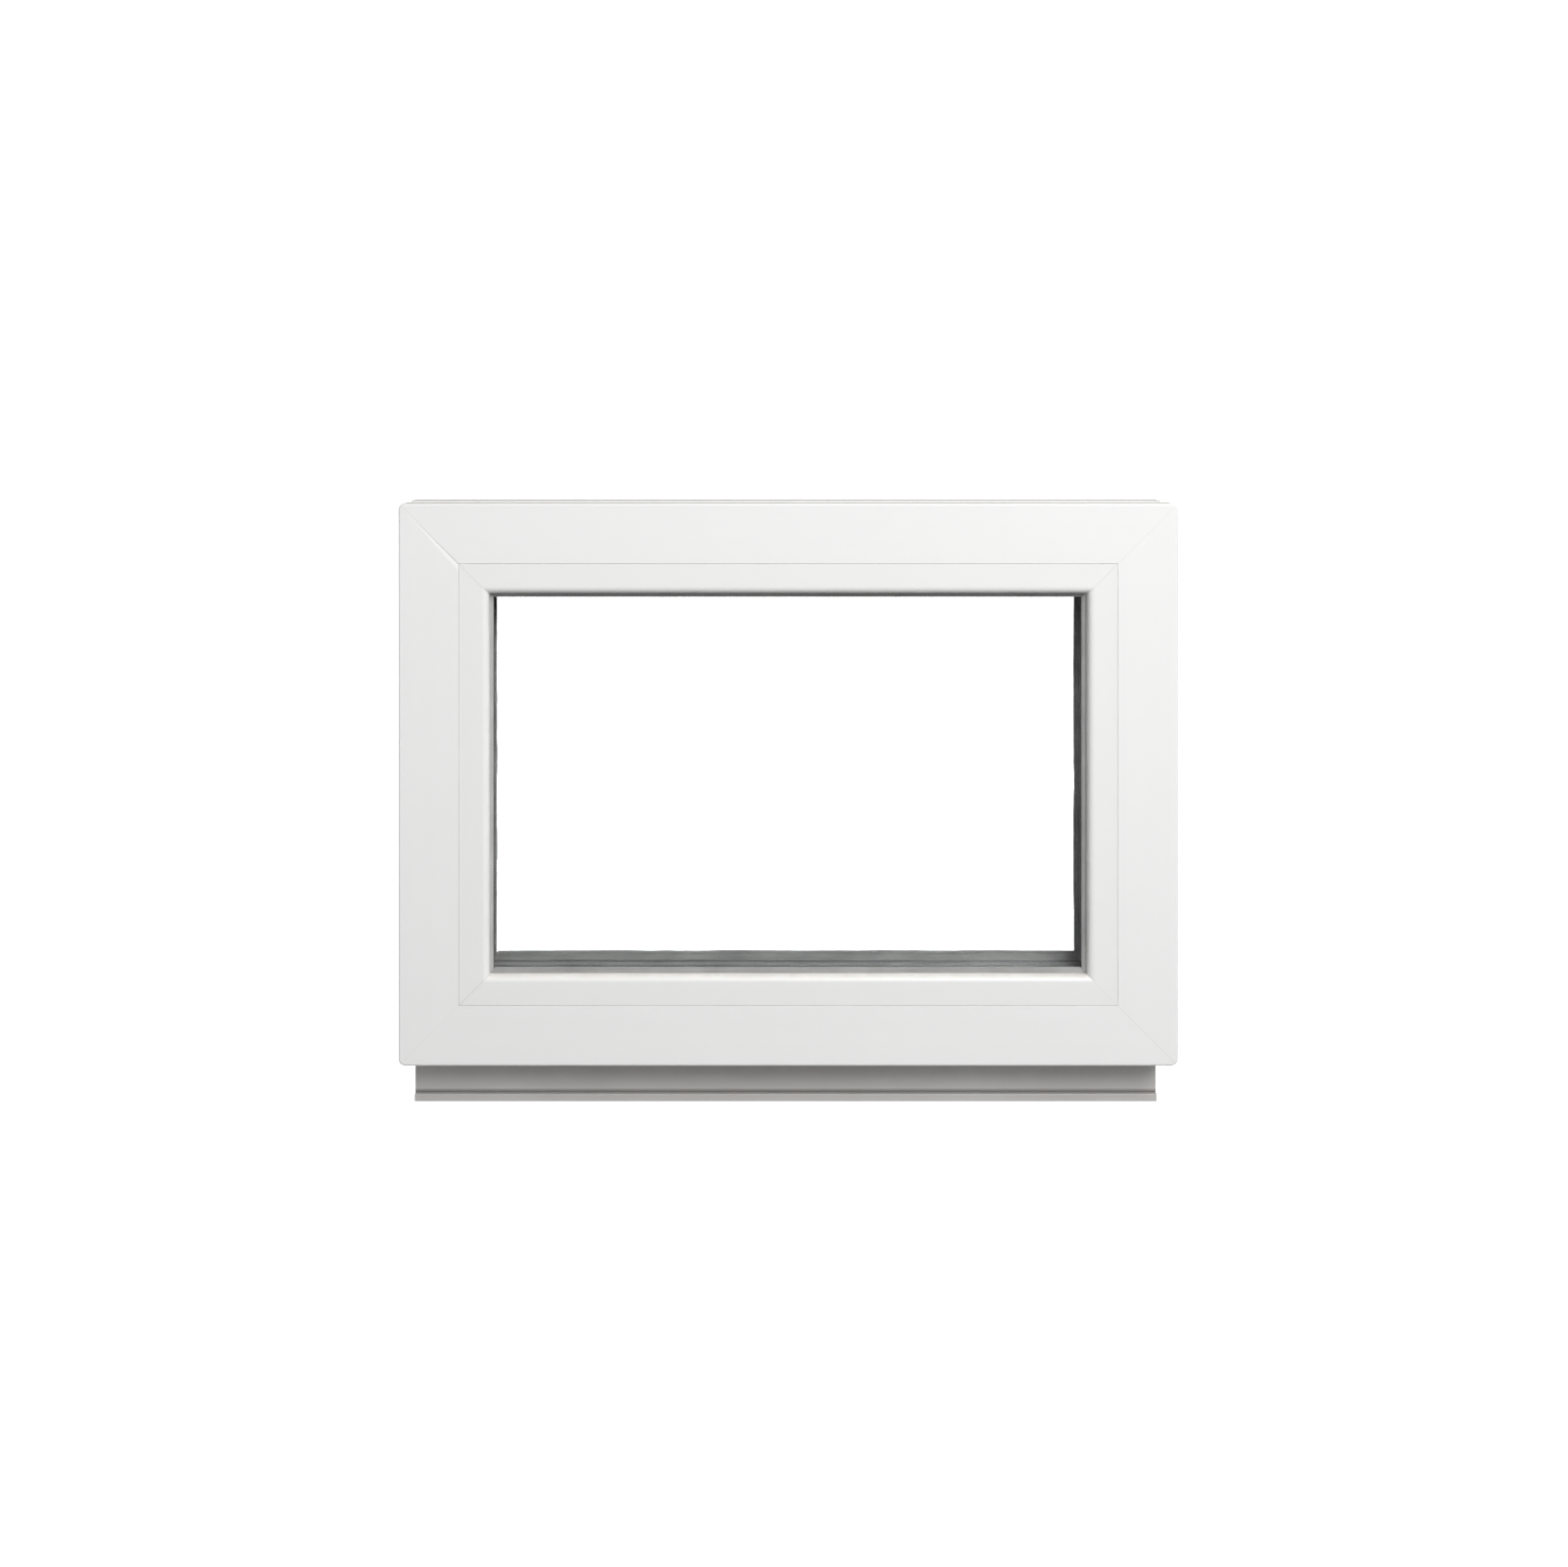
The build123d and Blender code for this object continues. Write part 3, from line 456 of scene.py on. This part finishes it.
def white_pvc(name, run, light, dark, seams):
    """Gloss white window plastic with die lines, wiped patches, mitre seams, a little dust, painted
    shade along the top edges and a painted highlight on the cleaned weld band.
    """
    material, tree, shader, place = start_material(name)
    lines = use_group(tree, EXTRUSION_LINES, Vector=place, Run=run, Fineness=620.0)
    skin = use_group(tree, MOULDED_SKIN, Vector=place, Mottle_Scale=9.0)
    # Dust on faces turned upward, with painted shade: darker lines along the front and back edges of
    # the top faces.
    dust = use_group(tree, SETTLED_DUST, Vector=place, Amount=dust_and_edge_shade_amount(tree, place))["Dust"]
    tone = math_node(tree, "MULTIPLY", skin["Mottle"], lines["Bands"])
    body = mix_colours(tree, remap(tree, tone, 0.1, 0.45), dark, light)
    weld = use_group(tree, WELD_SEAM, Vector=place, **seams)
    # Painted highlight: the cleaned weld band at the upper left is made lighter.
    body = mix_colours(tree, weld["Highlight"], body, FACET_HIGHLIGHT_COLOUR)
    body = mix_colours(tree, weld["Seam"], body, SEAM_AND_EDGE_SHADE_COLOUR)
    # Painted shade: a dark line along the top rear edge of the frame.
    body = mix_colours(tree, rear_edge_painted_shade(tree, place), body, SEAM_AND_EDGE_SHADE_COLOUR)
    body = mix_colours(tree, dust, body, DUST_AND_SHADE_COLOUR)
    relief = bump(tree, lines["Lines"], 0.04, 0.03 * MM)
    gloss = remap(tree, skin["Wiped"], 0.0, 1.0, 0.27, 0.31)
    rough = math_node(tree, "ADD", gloss, math_node(tree, "MULTIPLY", dust, 0.4))
    wire(tree, shader, Base_Color=body, Roughness=rough, Normal=relief)
    return material


def foot_groove_painted_shade(tree, place):
    """Painted shade of the sill profile: dark in the groove above its foot, faint on the foot."""
    above_foot = math_node(tree, "SUBTRACT", split(tree, place)["Z"], BOTTOM - FOOT_DROP)
    rising = remap(tree, above_foot, -FOOT_EDGE, FOOT_EDGE, 0.16, 0.85)
    fading = remap(tree, above_foot, *GROOVE_SHADE, 1.0, 0.0)
    return math_node(tree, "MULTIPLY", rising, fading)


def grey_pvc():
    """Satin grey plastic of the sill profile, with strong die lines along it."""
    material, tree, shader, place = start_material("grey_pvc")
    lines = use_group(tree, EXTRUSION_LINES, Vector=place, Run=LEVEL, Fineness=420.0)
    skin = use_group(tree, MOULDED_SKIN, Vector=place, Mottle_Scale=11.0)
    dust = use_group(tree, SETTLED_DUST, Vector=place, Amount=0.5)["Dust"]
    tone = math_node(tree, "MULTIPLY", lines["Bands"], skin["Mottle"])
    body = mix_colours(tree, remap(tree, tone, 0.1, 0.4), SILL_DARK, SILL_LIGHT)
    # Painted shade in the groove above the foot.
    body = mix_colours(tree, foot_groove_painted_shade(tree, place), body, GROOVE_SHADE_COLOUR)
    body = mix_colours(tree, dust, body, DUST_AND_SHADE_COLOUR)
    rough = remap(tree, lines["Lines"], 0.3, 0.7, 0.38, 0.5)
    wire(tree, shader, Base_Color=body, Roughness=rough)
    wire(tree, shader, Normal=bump(tree, lines["Lines"], 0.25, 0.08 * MM))
    return material


def rubber(name, light, dark, run, roughness):
    """Soft gasket rubber: die lines along it, fine grain and pale bloom in patches."""
    material, tree, shader, place = start_material(name)
    lines = use_group(tree, EXTRUSION_LINES, Vector=place, Run=run, Fineness=1600.0)
    skin = use_group(tree, MOULDED_SKIN, Vector=place, Mottle_Scale=40.0, Grain_Scale=2600.0)
    tone = math_node(tree, "MULTIPLY", lines["Lines"], skin["Mottle"])
    body = mix_colours(tree, remap(tree, tone, 0.12, 0.4), dark, light)
    rough = remap(tree, skin["Wiped"], 0.0, 1.0, roughness, roughness + 0.15)
    grain = bump(tree, skin["Grain"], 0.2, 0.05 * MM)
    wire(tree, shader, Base_Color=body, Roughness=rough)
    wire(tree, shader, Normal=bump(tree, lines["Lines"], 0.25, 0.08 * MM, grain))
    shader.inputs["Specular IOR Level"].default_value = 0.35
    return material


def clear_glass():
    """Float glass: hardly tinted, with the slightest roller wave and wiping marks."""
    material, tree, shader, place = start_material("clear_glass")
    wave = noise_node(tree, place, 9.0, 1.0)
    marks = noise_node(tree, place, 30.0, 5.0, 2.0)
    rough = remap(tree, marks, 0.62, 0.85, 0.0, 0.03)
    tint = mix_colours(tree, wave, GLASS_GREENER, GLASS_CLEARER)
    wire(tree, shader, Base_Color=tint, Roughness=rough, Normal=bump(tree, wave, 0.02, 0.3 * MM))
    shader.inputs["Transmission Weight"].default_value = 1.0
    shader.inputs["Metallic"].default_value = 0.0
    shader.inputs["IOR"].default_value = 1.5
    return material


def zinc_metal(name, light, dark, cells, roughness):
    """Zinc surface with crystals of different tone and a slight relief."""
    material, tree, shader, place = start_material(name)
    spangle = use_group(tree, ZINC_SPANGLE, Vector=place, Cells=cells)
    skin = use_group(tree, MOULDED_SKIN, Vector=place, Mottle_Scale=25.0)
    body = mix_colours(tree, spangle["Tone"], dark, light)
    rough = remap(tree, spangle["Tone"], 0.2, 0.8, roughness + 0.12, roughness)
    relief = math_node(tree, "ADD", spangle["Edge"], math_node(tree, "MULTIPLY", skin["Grain"], 0.3))
    wire(tree, shader, Base_Color=body, Roughness=rough, Normal=bump(tree, relief, 0.15, 0.05 * MM))
    shader.inputs["Metallic"].default_value = 0.9
    return material


def spacer_metal():
    """Matt dark spacer bar with rolled lines along both directions."""
    material, tree, shader, place = start_material("spacer_metal")
    skin = use_group(tree, MOULDED_SKIN, Vector=place, Mottle_Scale=60.0, Grain_Scale=1800.0)
    streaks = use_group(tree, EXTRUSION_LINES, Vector=place, Run=(1, 0, 1), Fineness=1500.0)
    tone = math_node(tree, "MULTIPLY", skin["Mottle"], streaks["Lines"])
    body = mix_colours(tree, remap(tree, tone, 0.12, 0.4), SPACER_DARK, SPACER_LIGHT)
    rough = remap(tree, skin["Grain"], 0.3, 0.7, 0.42, 0.58)
    wire(tree, shader, Base_Color=body, Roughness=rough)
    wire(tree, shader, Normal=bump(tree, streaks["Lines"], 0.3, 0.06 * MM))
    return material


def sealant():
    """Black sealant, tooled by hand, with a dull lumpy skin."""
    material, tree, shader, place = start_material("edge_sealant")
    skin = use_group(tree, MOULDED_SKIN, Vector=place, Mottle_Scale=130.0, Grain_Scale=900.0)
    body = mix_colours(tree, skin["Mottle"], SEALANT_DARK, SEALANT_LIGHT)
    rough = remap(tree, skin["Mottle"], 0.3, 0.7, 0.35, 0.6)
    lumps = bump(tree, skin["Mottle"], 0.5, 0.3 * MM)
    wire(tree, shader, Base_Color=body, Roughness=rough, Normal=lumps)
    return material


def moulded(name, light, dark, roughness):
    """Injection-moulded plastic with a sparked grain."""
    material, tree, shader, place = start_material(name)
    skin = use_group(tree, MOULDED_SKIN, Vector=place, Mottle_Scale=35.0, Grain_Scale=1900.0)
    body = mix_colours(tree, remap(tree, skin["Mottle"], 0.3, 0.7), dark, light)
    rough = remap(tree, skin["Wiped"], 0.0, 1.0, roughness, roughness + 0.12)
    grain = bump(tree, skin["Grain"], 0.2, 0.05 * MM)
    wire(tree, shader, Base_Color=body, Roughness=rough, Normal=grain)
    return material


def seal_foam():
    """Open-cell grey foam strip."""
    material, tree, shader, place = start_material("seal_foam")
    cells = node(tree, "ShaderNodeTexVoronoi", {"Vector": place, "Scale": 1500.0}).outputs["Distance"]
    body = mix_colours(tree, remap(tree, cells, 0.1, 0.6), FOAM_DARK, FOAM_LIGHT)
    rough = remap(tree, cells, 0.0, 0.7, 0.95, 0.8)
    wire(tree, shader, Base_Color=body, Roughness=rough, Normal=bump(tree, cells, 0.8, 0.3 * MM))
    return material


def directed(side_name, level, upright):
    """Picks the material whose lines run along a side's bar."""
    return level if side_name in ("top", "bottom") else upright


frame_level = white_pvc("white_pvc_level", LEVEL, FRAME_LIGHT, FRAME_DARK, WELD_SEAMS)
frame_upright = white_pvc("white_pvc_upright", UPRIGHT, FRAME_LIGHT, FRAME_DARK, WELD_SEAMS)
bead_level = white_pvc("bead_pvc_level", LEVEL, BEAD_LIGHT, BEAD_DARK, BEAD_SEAMS)
bead_upright = white_pvc("bead_pvc_upright", UPRIGHT, BEAD_LIGHT, BEAD_DARK, BEAD_SEAMS)
# Lit and shaded copies of the bead gasket rubber: painted shade on the level bars, painted light on
# the upright bars.
gasket_level = rubber("light_gasket_level_shaded", *GASKET_RUBBER_SHADED, LEVEL, 0.45)
gasket_upright = rubber("light_gasket_upright_lit", *GASKET_RUBBER_LIT, UPRIGHT, 0.45)
lip_level = rubber("weather_gasket_level", *WEATHER_RUBBER, LEVEL, 0.5)
lip_upright = rubber("weather_gasket_upright", *WEATHER_RUBBER, UPRIGHT, 0.5)
glass = clear_glass()
galvanised = zinc_metal("galvanised_steel", *GALVANISED_STEEL, 160.0, 0.34)
screw_zinc = zinc_metal("screw_zinc", *SCREW_ZINC, 900.0, 0.24)
spacer = spacer_metal()
black_sealant = sealant()
key_plastic = moulded("key_plastic", *KEY_PLASTIC, 0.45)
packer_plastic = moulded("packer_plastic", *PACKER_PLASTIC, 0.4)
cap_plastic = moulded("white_cap_plastic", *CAP_PLASTIC, 0.38)
sill_plastic = grey_pvc()
foam = seal_foam()
desiccant = moulded("desiccant", *DESICCANT, 0.8)

NODE_FINISH = {
    "glass_pane": glass,
    "spacer_room": spacer,
    "spacer_weather": spacer,
    "spacer_corner_keys": key_plastic,
    "edge_seal": black_sealant,
    "steel_reinforcement": galvanised,
    "reinforcement_screws": screw_zinc,
    "sill_screws": screw_zinc,
    "rebate_packers": packer_plastic,
    "setting_packers": packer_plastic,
    "sill_profile": sill_plastic,
    "sill_seal_strip": foam,
    "drain_cover": cap_plastic,
    "drain_flap": cap_plastic,
}
SIDE_FINISH = {
    "frame": (frame_level, frame_upright),
    "glazing_bead": (bead_level, bead_upright),
    "bead_gasket": (gasket_level, gasket_upright),
    "weather_gasket": (lip_level, lip_upright),
}


def finish_of(name):
    """The material of a CAD node, by the start of its name."""
    for start, pair in SIDE_FINISH.items():
        for side_name in SIDES:
            if name == f"{start}_{side_name}":
                return directed(side_name, *pair)
    return next(material for start, material in NODE_FINISH.items() if name.startswith(start))


for name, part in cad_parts.items():
    part.data.materials.clear()
    part.data.materials.append(finish_of(name))


# ---- new pieces ----
def add_piece(name, mesh, body):
    """Puts a finished mesh in the scene on a body, with its material slot."""
    piece = bpy.data.objects.new(name, mesh)
    bpy.context.scene.collection.objects.link(piece)
    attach(piece, body)
    return piece


def lip_section(tip):
    """Closed outline of the weather gasket for one tip position, as (inside, deep)."""
    near = GLASS_BACK + GLASS_GAP
    return [
        # root in the flange's groove, and heel
        (60.2 * MM, FLANGE_FACE + 2.2 * MM),
        (60.2 * MM, FLANGE_FACE),
        (59.2 * MM, FLANGE_FACE),
        (59.2 * MM, near + 1.0 * MM),
        # sole on the glass, with a groove behind the tip
        (60.2 * MM, near),
        (tip - 3.0 * MM, near),
        (tip - 2.75 * MM, near + 0.5 * MM),
        (tip - 2.45 * MM, near + 0.5 * MM),
        (tip - 2.2 * MM, near),
        (tip - 0.7 * MM, near),
        # rounded tip, and back to the root
        (tip - 0.2 * MM, near + 0.2 * MM),
        (tip, near + 0.7 * MM),
        (tip - 0.3 * MM, near + 1.3 * MM),
        (66.4 * MM, FLANGE_FACE - GLASS_GAP),
        (63.8 * MM, FLANGE_FACE - GLASS_GAP),
        (63.8 * MM, FLANGE_FACE + 2.2 * MM),
    ]


def lip_mesh(name, side, tip_rest, material):
    """Weather gasket of one side: its lip waves along the glass and meets the mitres."""
    stations = round(side.length / LIP_STEP)
    mesh = bmesh.new()
    rings = []
    for station in range(stations + 1):
        share = 2 * station / stations - 1
        calm = 1 - abs(share) ** LIP_CALM
        along_middle = share * side.length / 2
        swell = noise.noise(side.point(along_middle, 0, 0) * SWELL_SCALE)
        ripple = noise.noise(side.point(along_middle, 0, 1.0) * RIPPLE_SCALE)
        wave = calm * LIP_WAVE * (1 + SWELL_SHARE * swell + RIPPLE_SHARE * ripple)
        tip = tip_rest - LIP_WAVE + wave
        ring = []
        for inside, deep in lip_section(tip):
            along = share * (side.length / 2 - min(inside, LIP_JOIN))
            ring.append(mesh.verts.new(side.point(along, inside, deep)))
        rings.append(ring)
    for first, second in zip(rings, rings[1:]):
        for i in range(len(first)):
            j = (i + 1) % len(first)
            mesh.faces.new((first[i], first[j], second[j], second[i]))
    mesh.faces.new(rings[0])
    mesh.faces.new(reversed(rings[-1]))
    bmesh.ops.recalc_face_normals(mesh, faces=mesh.faces)
    made = bpy.data.meshes.new(name)
    mesh.to_mesh(made)
    mesh.free()
    made.materials.append(material)
    return made


for side_name, side in SIDES.items():
    rubber_finish = directed(side_name, lip_level, lip_upright)
    name = f"weather_gasket_lip_{side_name}"
    mesh = lip_mesh(name, side, LIP_TIP[side_name], rubber_finish)
    lip = add_piece(name, mesh, "window")
    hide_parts(f"weather_gasket_{side_name}")


def new_tree(name, inputs):
    """An empty Geometry Nodes tree with named inputs, and its two end nodes."""
    tree = bpy.data.node_groups.new(name, "GeometryNodeTree")
    tree.interface.new_socket("Geometry", in_out="OUTPUT", socket_type="NodeSocketGeometry")
    tree.interface.new_socket("Geometry", in_out="INPUT", socket_type="NodeSocketGeometry")
    for label, kind in inputs:
        tree.interface.new_socket(label, in_out="INPUT", socket_type=f"NodeSocket{kind}")
    return tree, node(tree, "NodeGroupInput"), node(tree, "NodeGroupOutput")


def end_tree(tree, given, result, geometry):
    """Every tree ends by making its instances real and giving them their material."""
    real = node(tree, "GeometryNodeRealizeInstances", {0: geometry}).outputs[0]
    smooth = node(tree, "GeometryNodeSetShadeSmooth", {0: real}).outputs[0]
    inputs = {"Geometry": smooth, "Material": given.outputs["Material"]}
    painted = node(tree, "GeometryNodeSetMaterial", inputs)
    tree.links.new(painted.outputs[0], result.inputs[0])


def grow(tree, seed_mesh, values):
    """Runs a tree on a small seed mesh with these input values and returns a plain mesh."""
    holder = bpy.data.objects.new("holder", seed_mesh)
    bpy.context.scene.collection.objects.link(holder)
    modifier = holder.modifiers.new("grow", "NODES")
    modifier.node_group = tree
    for item in tree.interface.items_tree:  # inputs go by their identifiers
        if item.in_out == "INPUT" and item.name in values:
            modifier[item.identifier] = values[item.name]
    ready = holder.evaluated_get(bpy.context.evaluated_depsgraph_get())
    made = bpy.data.meshes.new_from_object(ready)
    holder.modifiers.remove(modifier)
    bpy.data.objects.remove(holder)
    return made


def join_meshes(name, meshes, material):
    """One mesh, of one material, out of several."""
    joined = bmesh.new()
    for mesh in meshes:
        joined.from_mesh(mesh)
    for face in joined.faces:
        face.material_index = 0
    made = bpy.data.meshes.new(name)
    joined.to_mesh(made)
    joined.free()
    made.materials.append(material)
    made.shade_smooth()
    return made


def hole_row_tree():
    """A row of flat round discs, evenly pitched from its start, that look like holes."""
    tree, given, result = new_tree(
        "hole_row",
        [
            ("Start", "Vector"),
            ("Step", "Vector"),
            ("Count", "Int"),
            ("Facing", "Vector"),
            ("Radius", "Float"),
            ("Rise", "Float"),
            ("Material", "Material"),
        ],
    )
    inputs = {
        "Count": given.outputs["Count"],
        "Start Location": given.outputs["Start"],
        "Offset": given.outputs["Step"],
    }
    line = node(tree, "GeometryNodeMeshLine", inputs, mode="OFFSET").outputs[0]
    size = {
        "Vertices": HOLE_SIDES,
        "Radius": given.outputs["Radius"],
        "Depth": given.outputs["Rise"],
    }
    disc = node(tree, "GeometryNodeMeshCylinder", size).outputs["Mesh"]
    facing = {"Vector": given.outputs["Facing"]}
    turn = node(tree, "FunctionNodeAlignRotationToVector", facing, axis="Z").outputs[0]
    inputs = {"Points": line, "Instance": disc, "Rotation": turn}
    spots = node(tree, "GeometryNodeInstanceOnPoints", inputs).outputs[0]
    end_tree(tree, given, result, spots)
    return tree


def sealant_line_tree():
    """A hand-laid line of sealant along a closed path, waving a little."""
    tree, given, result = new_tree(
        "sealant_line",
        [("Step", "Float"), ("Wave", "Float"), ("Radius", "Float"), ("Material", "Material")],
    )
    path = node(tree, "GeometryNodeMeshToCurve", {0: given.outputs["Geometry"]}).outputs[0]
    steps = {"Curve": path, "Length": given.outputs["Step"]}
    even = node(tree, "GeometryNodeResampleCurve", steps, mode="LENGTH").outputs[0]
    place = node(tree, "GeometryNodeInputPosition").outputs[0]
    clouds = {"Vector": place, "Scale": BUTYL_WAVE_SCALE, "Detail": 2.0}
    wander = node(tree, "ShaderNodeTexNoise", clouds).outputs["Color"]
    centred = vector_node(tree, "SUBTRACT", wander, (0.5, 0.5, 0.5))
    flat = vector_node(tree, "MULTIPLY", centred, (1, 0, 1))
    reach = {0: flat, "Scale": given.outputs["Wave"]}
    offset = node(tree, "ShaderNodeVectorMath", reach, operation="SCALE").outputs[0]
    moved = node(tree, "GeometryNodeSetPosition", {"Geometry": even, "Offset": offset}).outputs[0]
    circle = {"Resolution": BUTYL_SIDES, "Radius": given.outputs["Radius"]}
    ring = node(tree, "GeometryNodeCurvePrimitiveCircle", circle).outputs["Curve"]
    tube = node(tree, "GeometryNodeCurveToMesh", {"Curve": moved, "Profile Curve": ring}).outputs[0]
    end_tree(tree, given, result, tube)
    return tree


HOLE_ROW = hole_row_tree()
SEALANT_LINE = sealant_line_tree()


def window_loop(inside, y):
    """Closed rectangle of edges at an even distance inside the frame's outer edge."""
    corners = [
        (LEFT + inside, y, BOTTOM + inside),
        (RIGHT - inside, y, BOTTOM + inside),
        (RIGHT - inside, y, TOP - inside),
        (LEFT + inside, y, TOP - inside),
    ]
    mesh = bpy.data.meshes.new("seed")
    mesh.from_pydata(corners, [(0, 1), (1, 2), (2, 3), (3, 0)], [])
    return mesh


def hole_row(side, deep):
    """The holes on the cavity face of one spacer bar."""
    count = int((side.length - 2 * SPACER_TOP) / HOLE_PITCH)
    first = side.point(-(count - 1) * HOLE_PITCH / 2, SPACER_TOP, deep)
    values = {
        "Start": first,
        "Step": side.run * HOLE_PITCH,
        "Count": count,
        "Facing": side.inward,
        "Radius": HOLE_RADIUS,
        "Rise": HOLE_RISE,
        "Material": desiccant,
    }
    return grow(HOLE_ROW, bpy.data.meshes.new("seed"), values)


for cavity, (near_y, far_y) in CAVITIES.items():
    middle_deep = (near_y + far_y) / 2 - ROOM_Y
    rows = [hole_row(side, middle_deep) for side in SIDES.values()]
    name = f"spacer_holes_{cavity}"
    add_piece(name, join_meshes(name, rows, desiccant), "window")

    off_glass = BUTYL_RADIUS + GLASS_GAP
    line_depths = (near_y + off_glass, far_y - off_glass)
    loops = [window_loop(SPACER_TOP + BUTYL_LIFT, y) for y in line_depths]
    values = {
        "Step": BUTYL_STEP,
        "Wave": BUTYL_WAVE,
        "Radius": BUTYL_RADIUS,
        "Material": black_sealant,
    }
    name = f"butyl_line_{cavity}"
    lines = [grow(SEALANT_LINE, loop, values) for loop in loops]
    add_piece(name, join_meshes(name, lines, black_sealant), "window")


# ---- floor, light and camera ----
def seen_directly(tree):
    """1 for what is looked at, also through glass, and 0 for the rays that light the object."""
    rays = node(tree, "ShaderNodeLightPath").outputs
    looked_at = math_node(tree, "MAXIMUM", rays["Is Camera Ray"], rays["Is Transmission Ray"])
    bounces = math_node(tree, "ADD", rays["Diffuse Depth"], rays["Glossy Depth"])
    unscattered = math_node(tree, "LESS_THAN", bounces, 0.5)
    return math_node(tree, "MULTIPLY", looked_at, unscattered)


def add_floor():
    """Plain pale studio floor, so brightly lit that it reads as white paper."""
    mesh = bpy.data.meshes.new("floor")
    corners = [(-1, -1), (1, -1), (1, 1), (-1, 1)]
    points = [(FLOOR_REACH * x, FLOOR_REACH * y, -FLOOR_DROP) for x, y in corners]
    mesh.from_pydata(points, [], [(0, 1, 2, 3)])
    floor = bpy.data.objects.new("floor", mesh)
    bpy.context.scene.collection.objects.link(floor)
    material, tree, shader, place = start_material("floor_paper")
    seen = seen_directly(tree)
    pale = mix_colours(tree, noise_node(tree, place, 3.0), PAPER_DARK, PAPER_LIGHT)
    wire(tree, shader, Base_Color=mix_colours(tree, seen, PAPER_UNSEEN, pale))
    shader.inputs["Roughness"].default_value = 0.9
    shader.inputs["Emission Color"].default_value = (1, 1, 1, 1)
    strength = math_node(tree, "MULTIPLY", seen, BACKDROP)
    tree.links.new(strength, shader.inputs["Emission Strength"])
    mesh.materials.append(material)


def add_world():
    """White surround. It is seen brighter than it lights, and gloss reflects a dark room."""
    world = bpy.data.worlds.new("studio")
    bpy.context.scene.world = world
    world.use_nodes = True
    tree = world.node_tree
    background = tree.nodes["Background"]
    background.inputs["Color"].default_value = (1, 1, 1, 1)
    mirrored = node(tree, "ShaderNodeLightPath").outputs["Is Glossy Ray"]
    lighting = remap(tree, mirrored, 0.0, 1.0, AMBIENT, DARK_ROOM)
    seen = math_node(tree, "MULTIPLY", seen_directly(tree), BACKDROP)
    strength = math_node(tree, "MAXIMUM", seen, lighting)
    tree.links.new(strength, background.inputs["Strength"])


def shine_through_panes(lamp):
    """Lets a lamp light what stands behind the panes, which would otherwise shade it fully."""
    blockers = bpy.data.collections.new(f"{lamp.name}_blockers")
    for name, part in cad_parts.items():
        if name.startswith("glass_pane"):
            blockers.objects.link(part)
    for entry in blockers.collection_objects:
        entry.light_linking.link_state = "EXCLUDE"
    lamp.light_linking.blocker_collection = blockers


def add_softbox(name, place, size, power):
    """Soft rectangular light turned to the middle of the window."""
    light = bpy.data.lights.new(name, "AREA")
    light.shape = "RECTANGLE"
    light.size, light.size_y = size
    light.energy = power
    lamp = bpy.data.objects.new(name, light)
    lamp.location = place
    towards = Vector((0, ROOM_Y, MIDDLE_Z)) - Vector(place)
    lamp.rotation_euler = towards.to_track_quat("-Z", "Y").to_euler()
    bpy.context.scene.collection.objects.link(lamp)
    return lamp


def add_camera():
    """Level camera; the picture is centred on the window by shifting the lens."""
    data = bpy.data.cameras.new("camera")
    data.lens = LENS
    data.sensor_width = SENSOR
    camera = bpy.data.objects.new("camera", data)
    camera.location = (-CAMERA_LEFT, ROOM_Y - CAMERA_DISTANCE, BOTTOM + CAMERA_HEIGHT)
    camera.rotation_euler = (math.radians(90), 0, 0)
    per_metre = LENS / SENSOR / CAMERA_DISTANCE
    data.shift_x = (FRAMING.x + CAMERA_LEFT) * per_metre
    data.shift_y = (FRAMING.y - CAMERA_HEIGHT) * per_metre
    bpy.context.scene.collection.objects.link(camera)
    bpy.context.scene.camera = camera


add_floor()
add_world()
lamps = {name: add_softbox(name, *settings) for name, settings in SOFTBOXES.items()}
lamps["back_light"].visible_glossy = False  # it would mirror in the panes
shine_through_panes(lamps["key_light"])
shine_through_panes(lamps["fill_light"])
add_camera()
bpy.context.scene.view_settings.view_transform = "Standard"
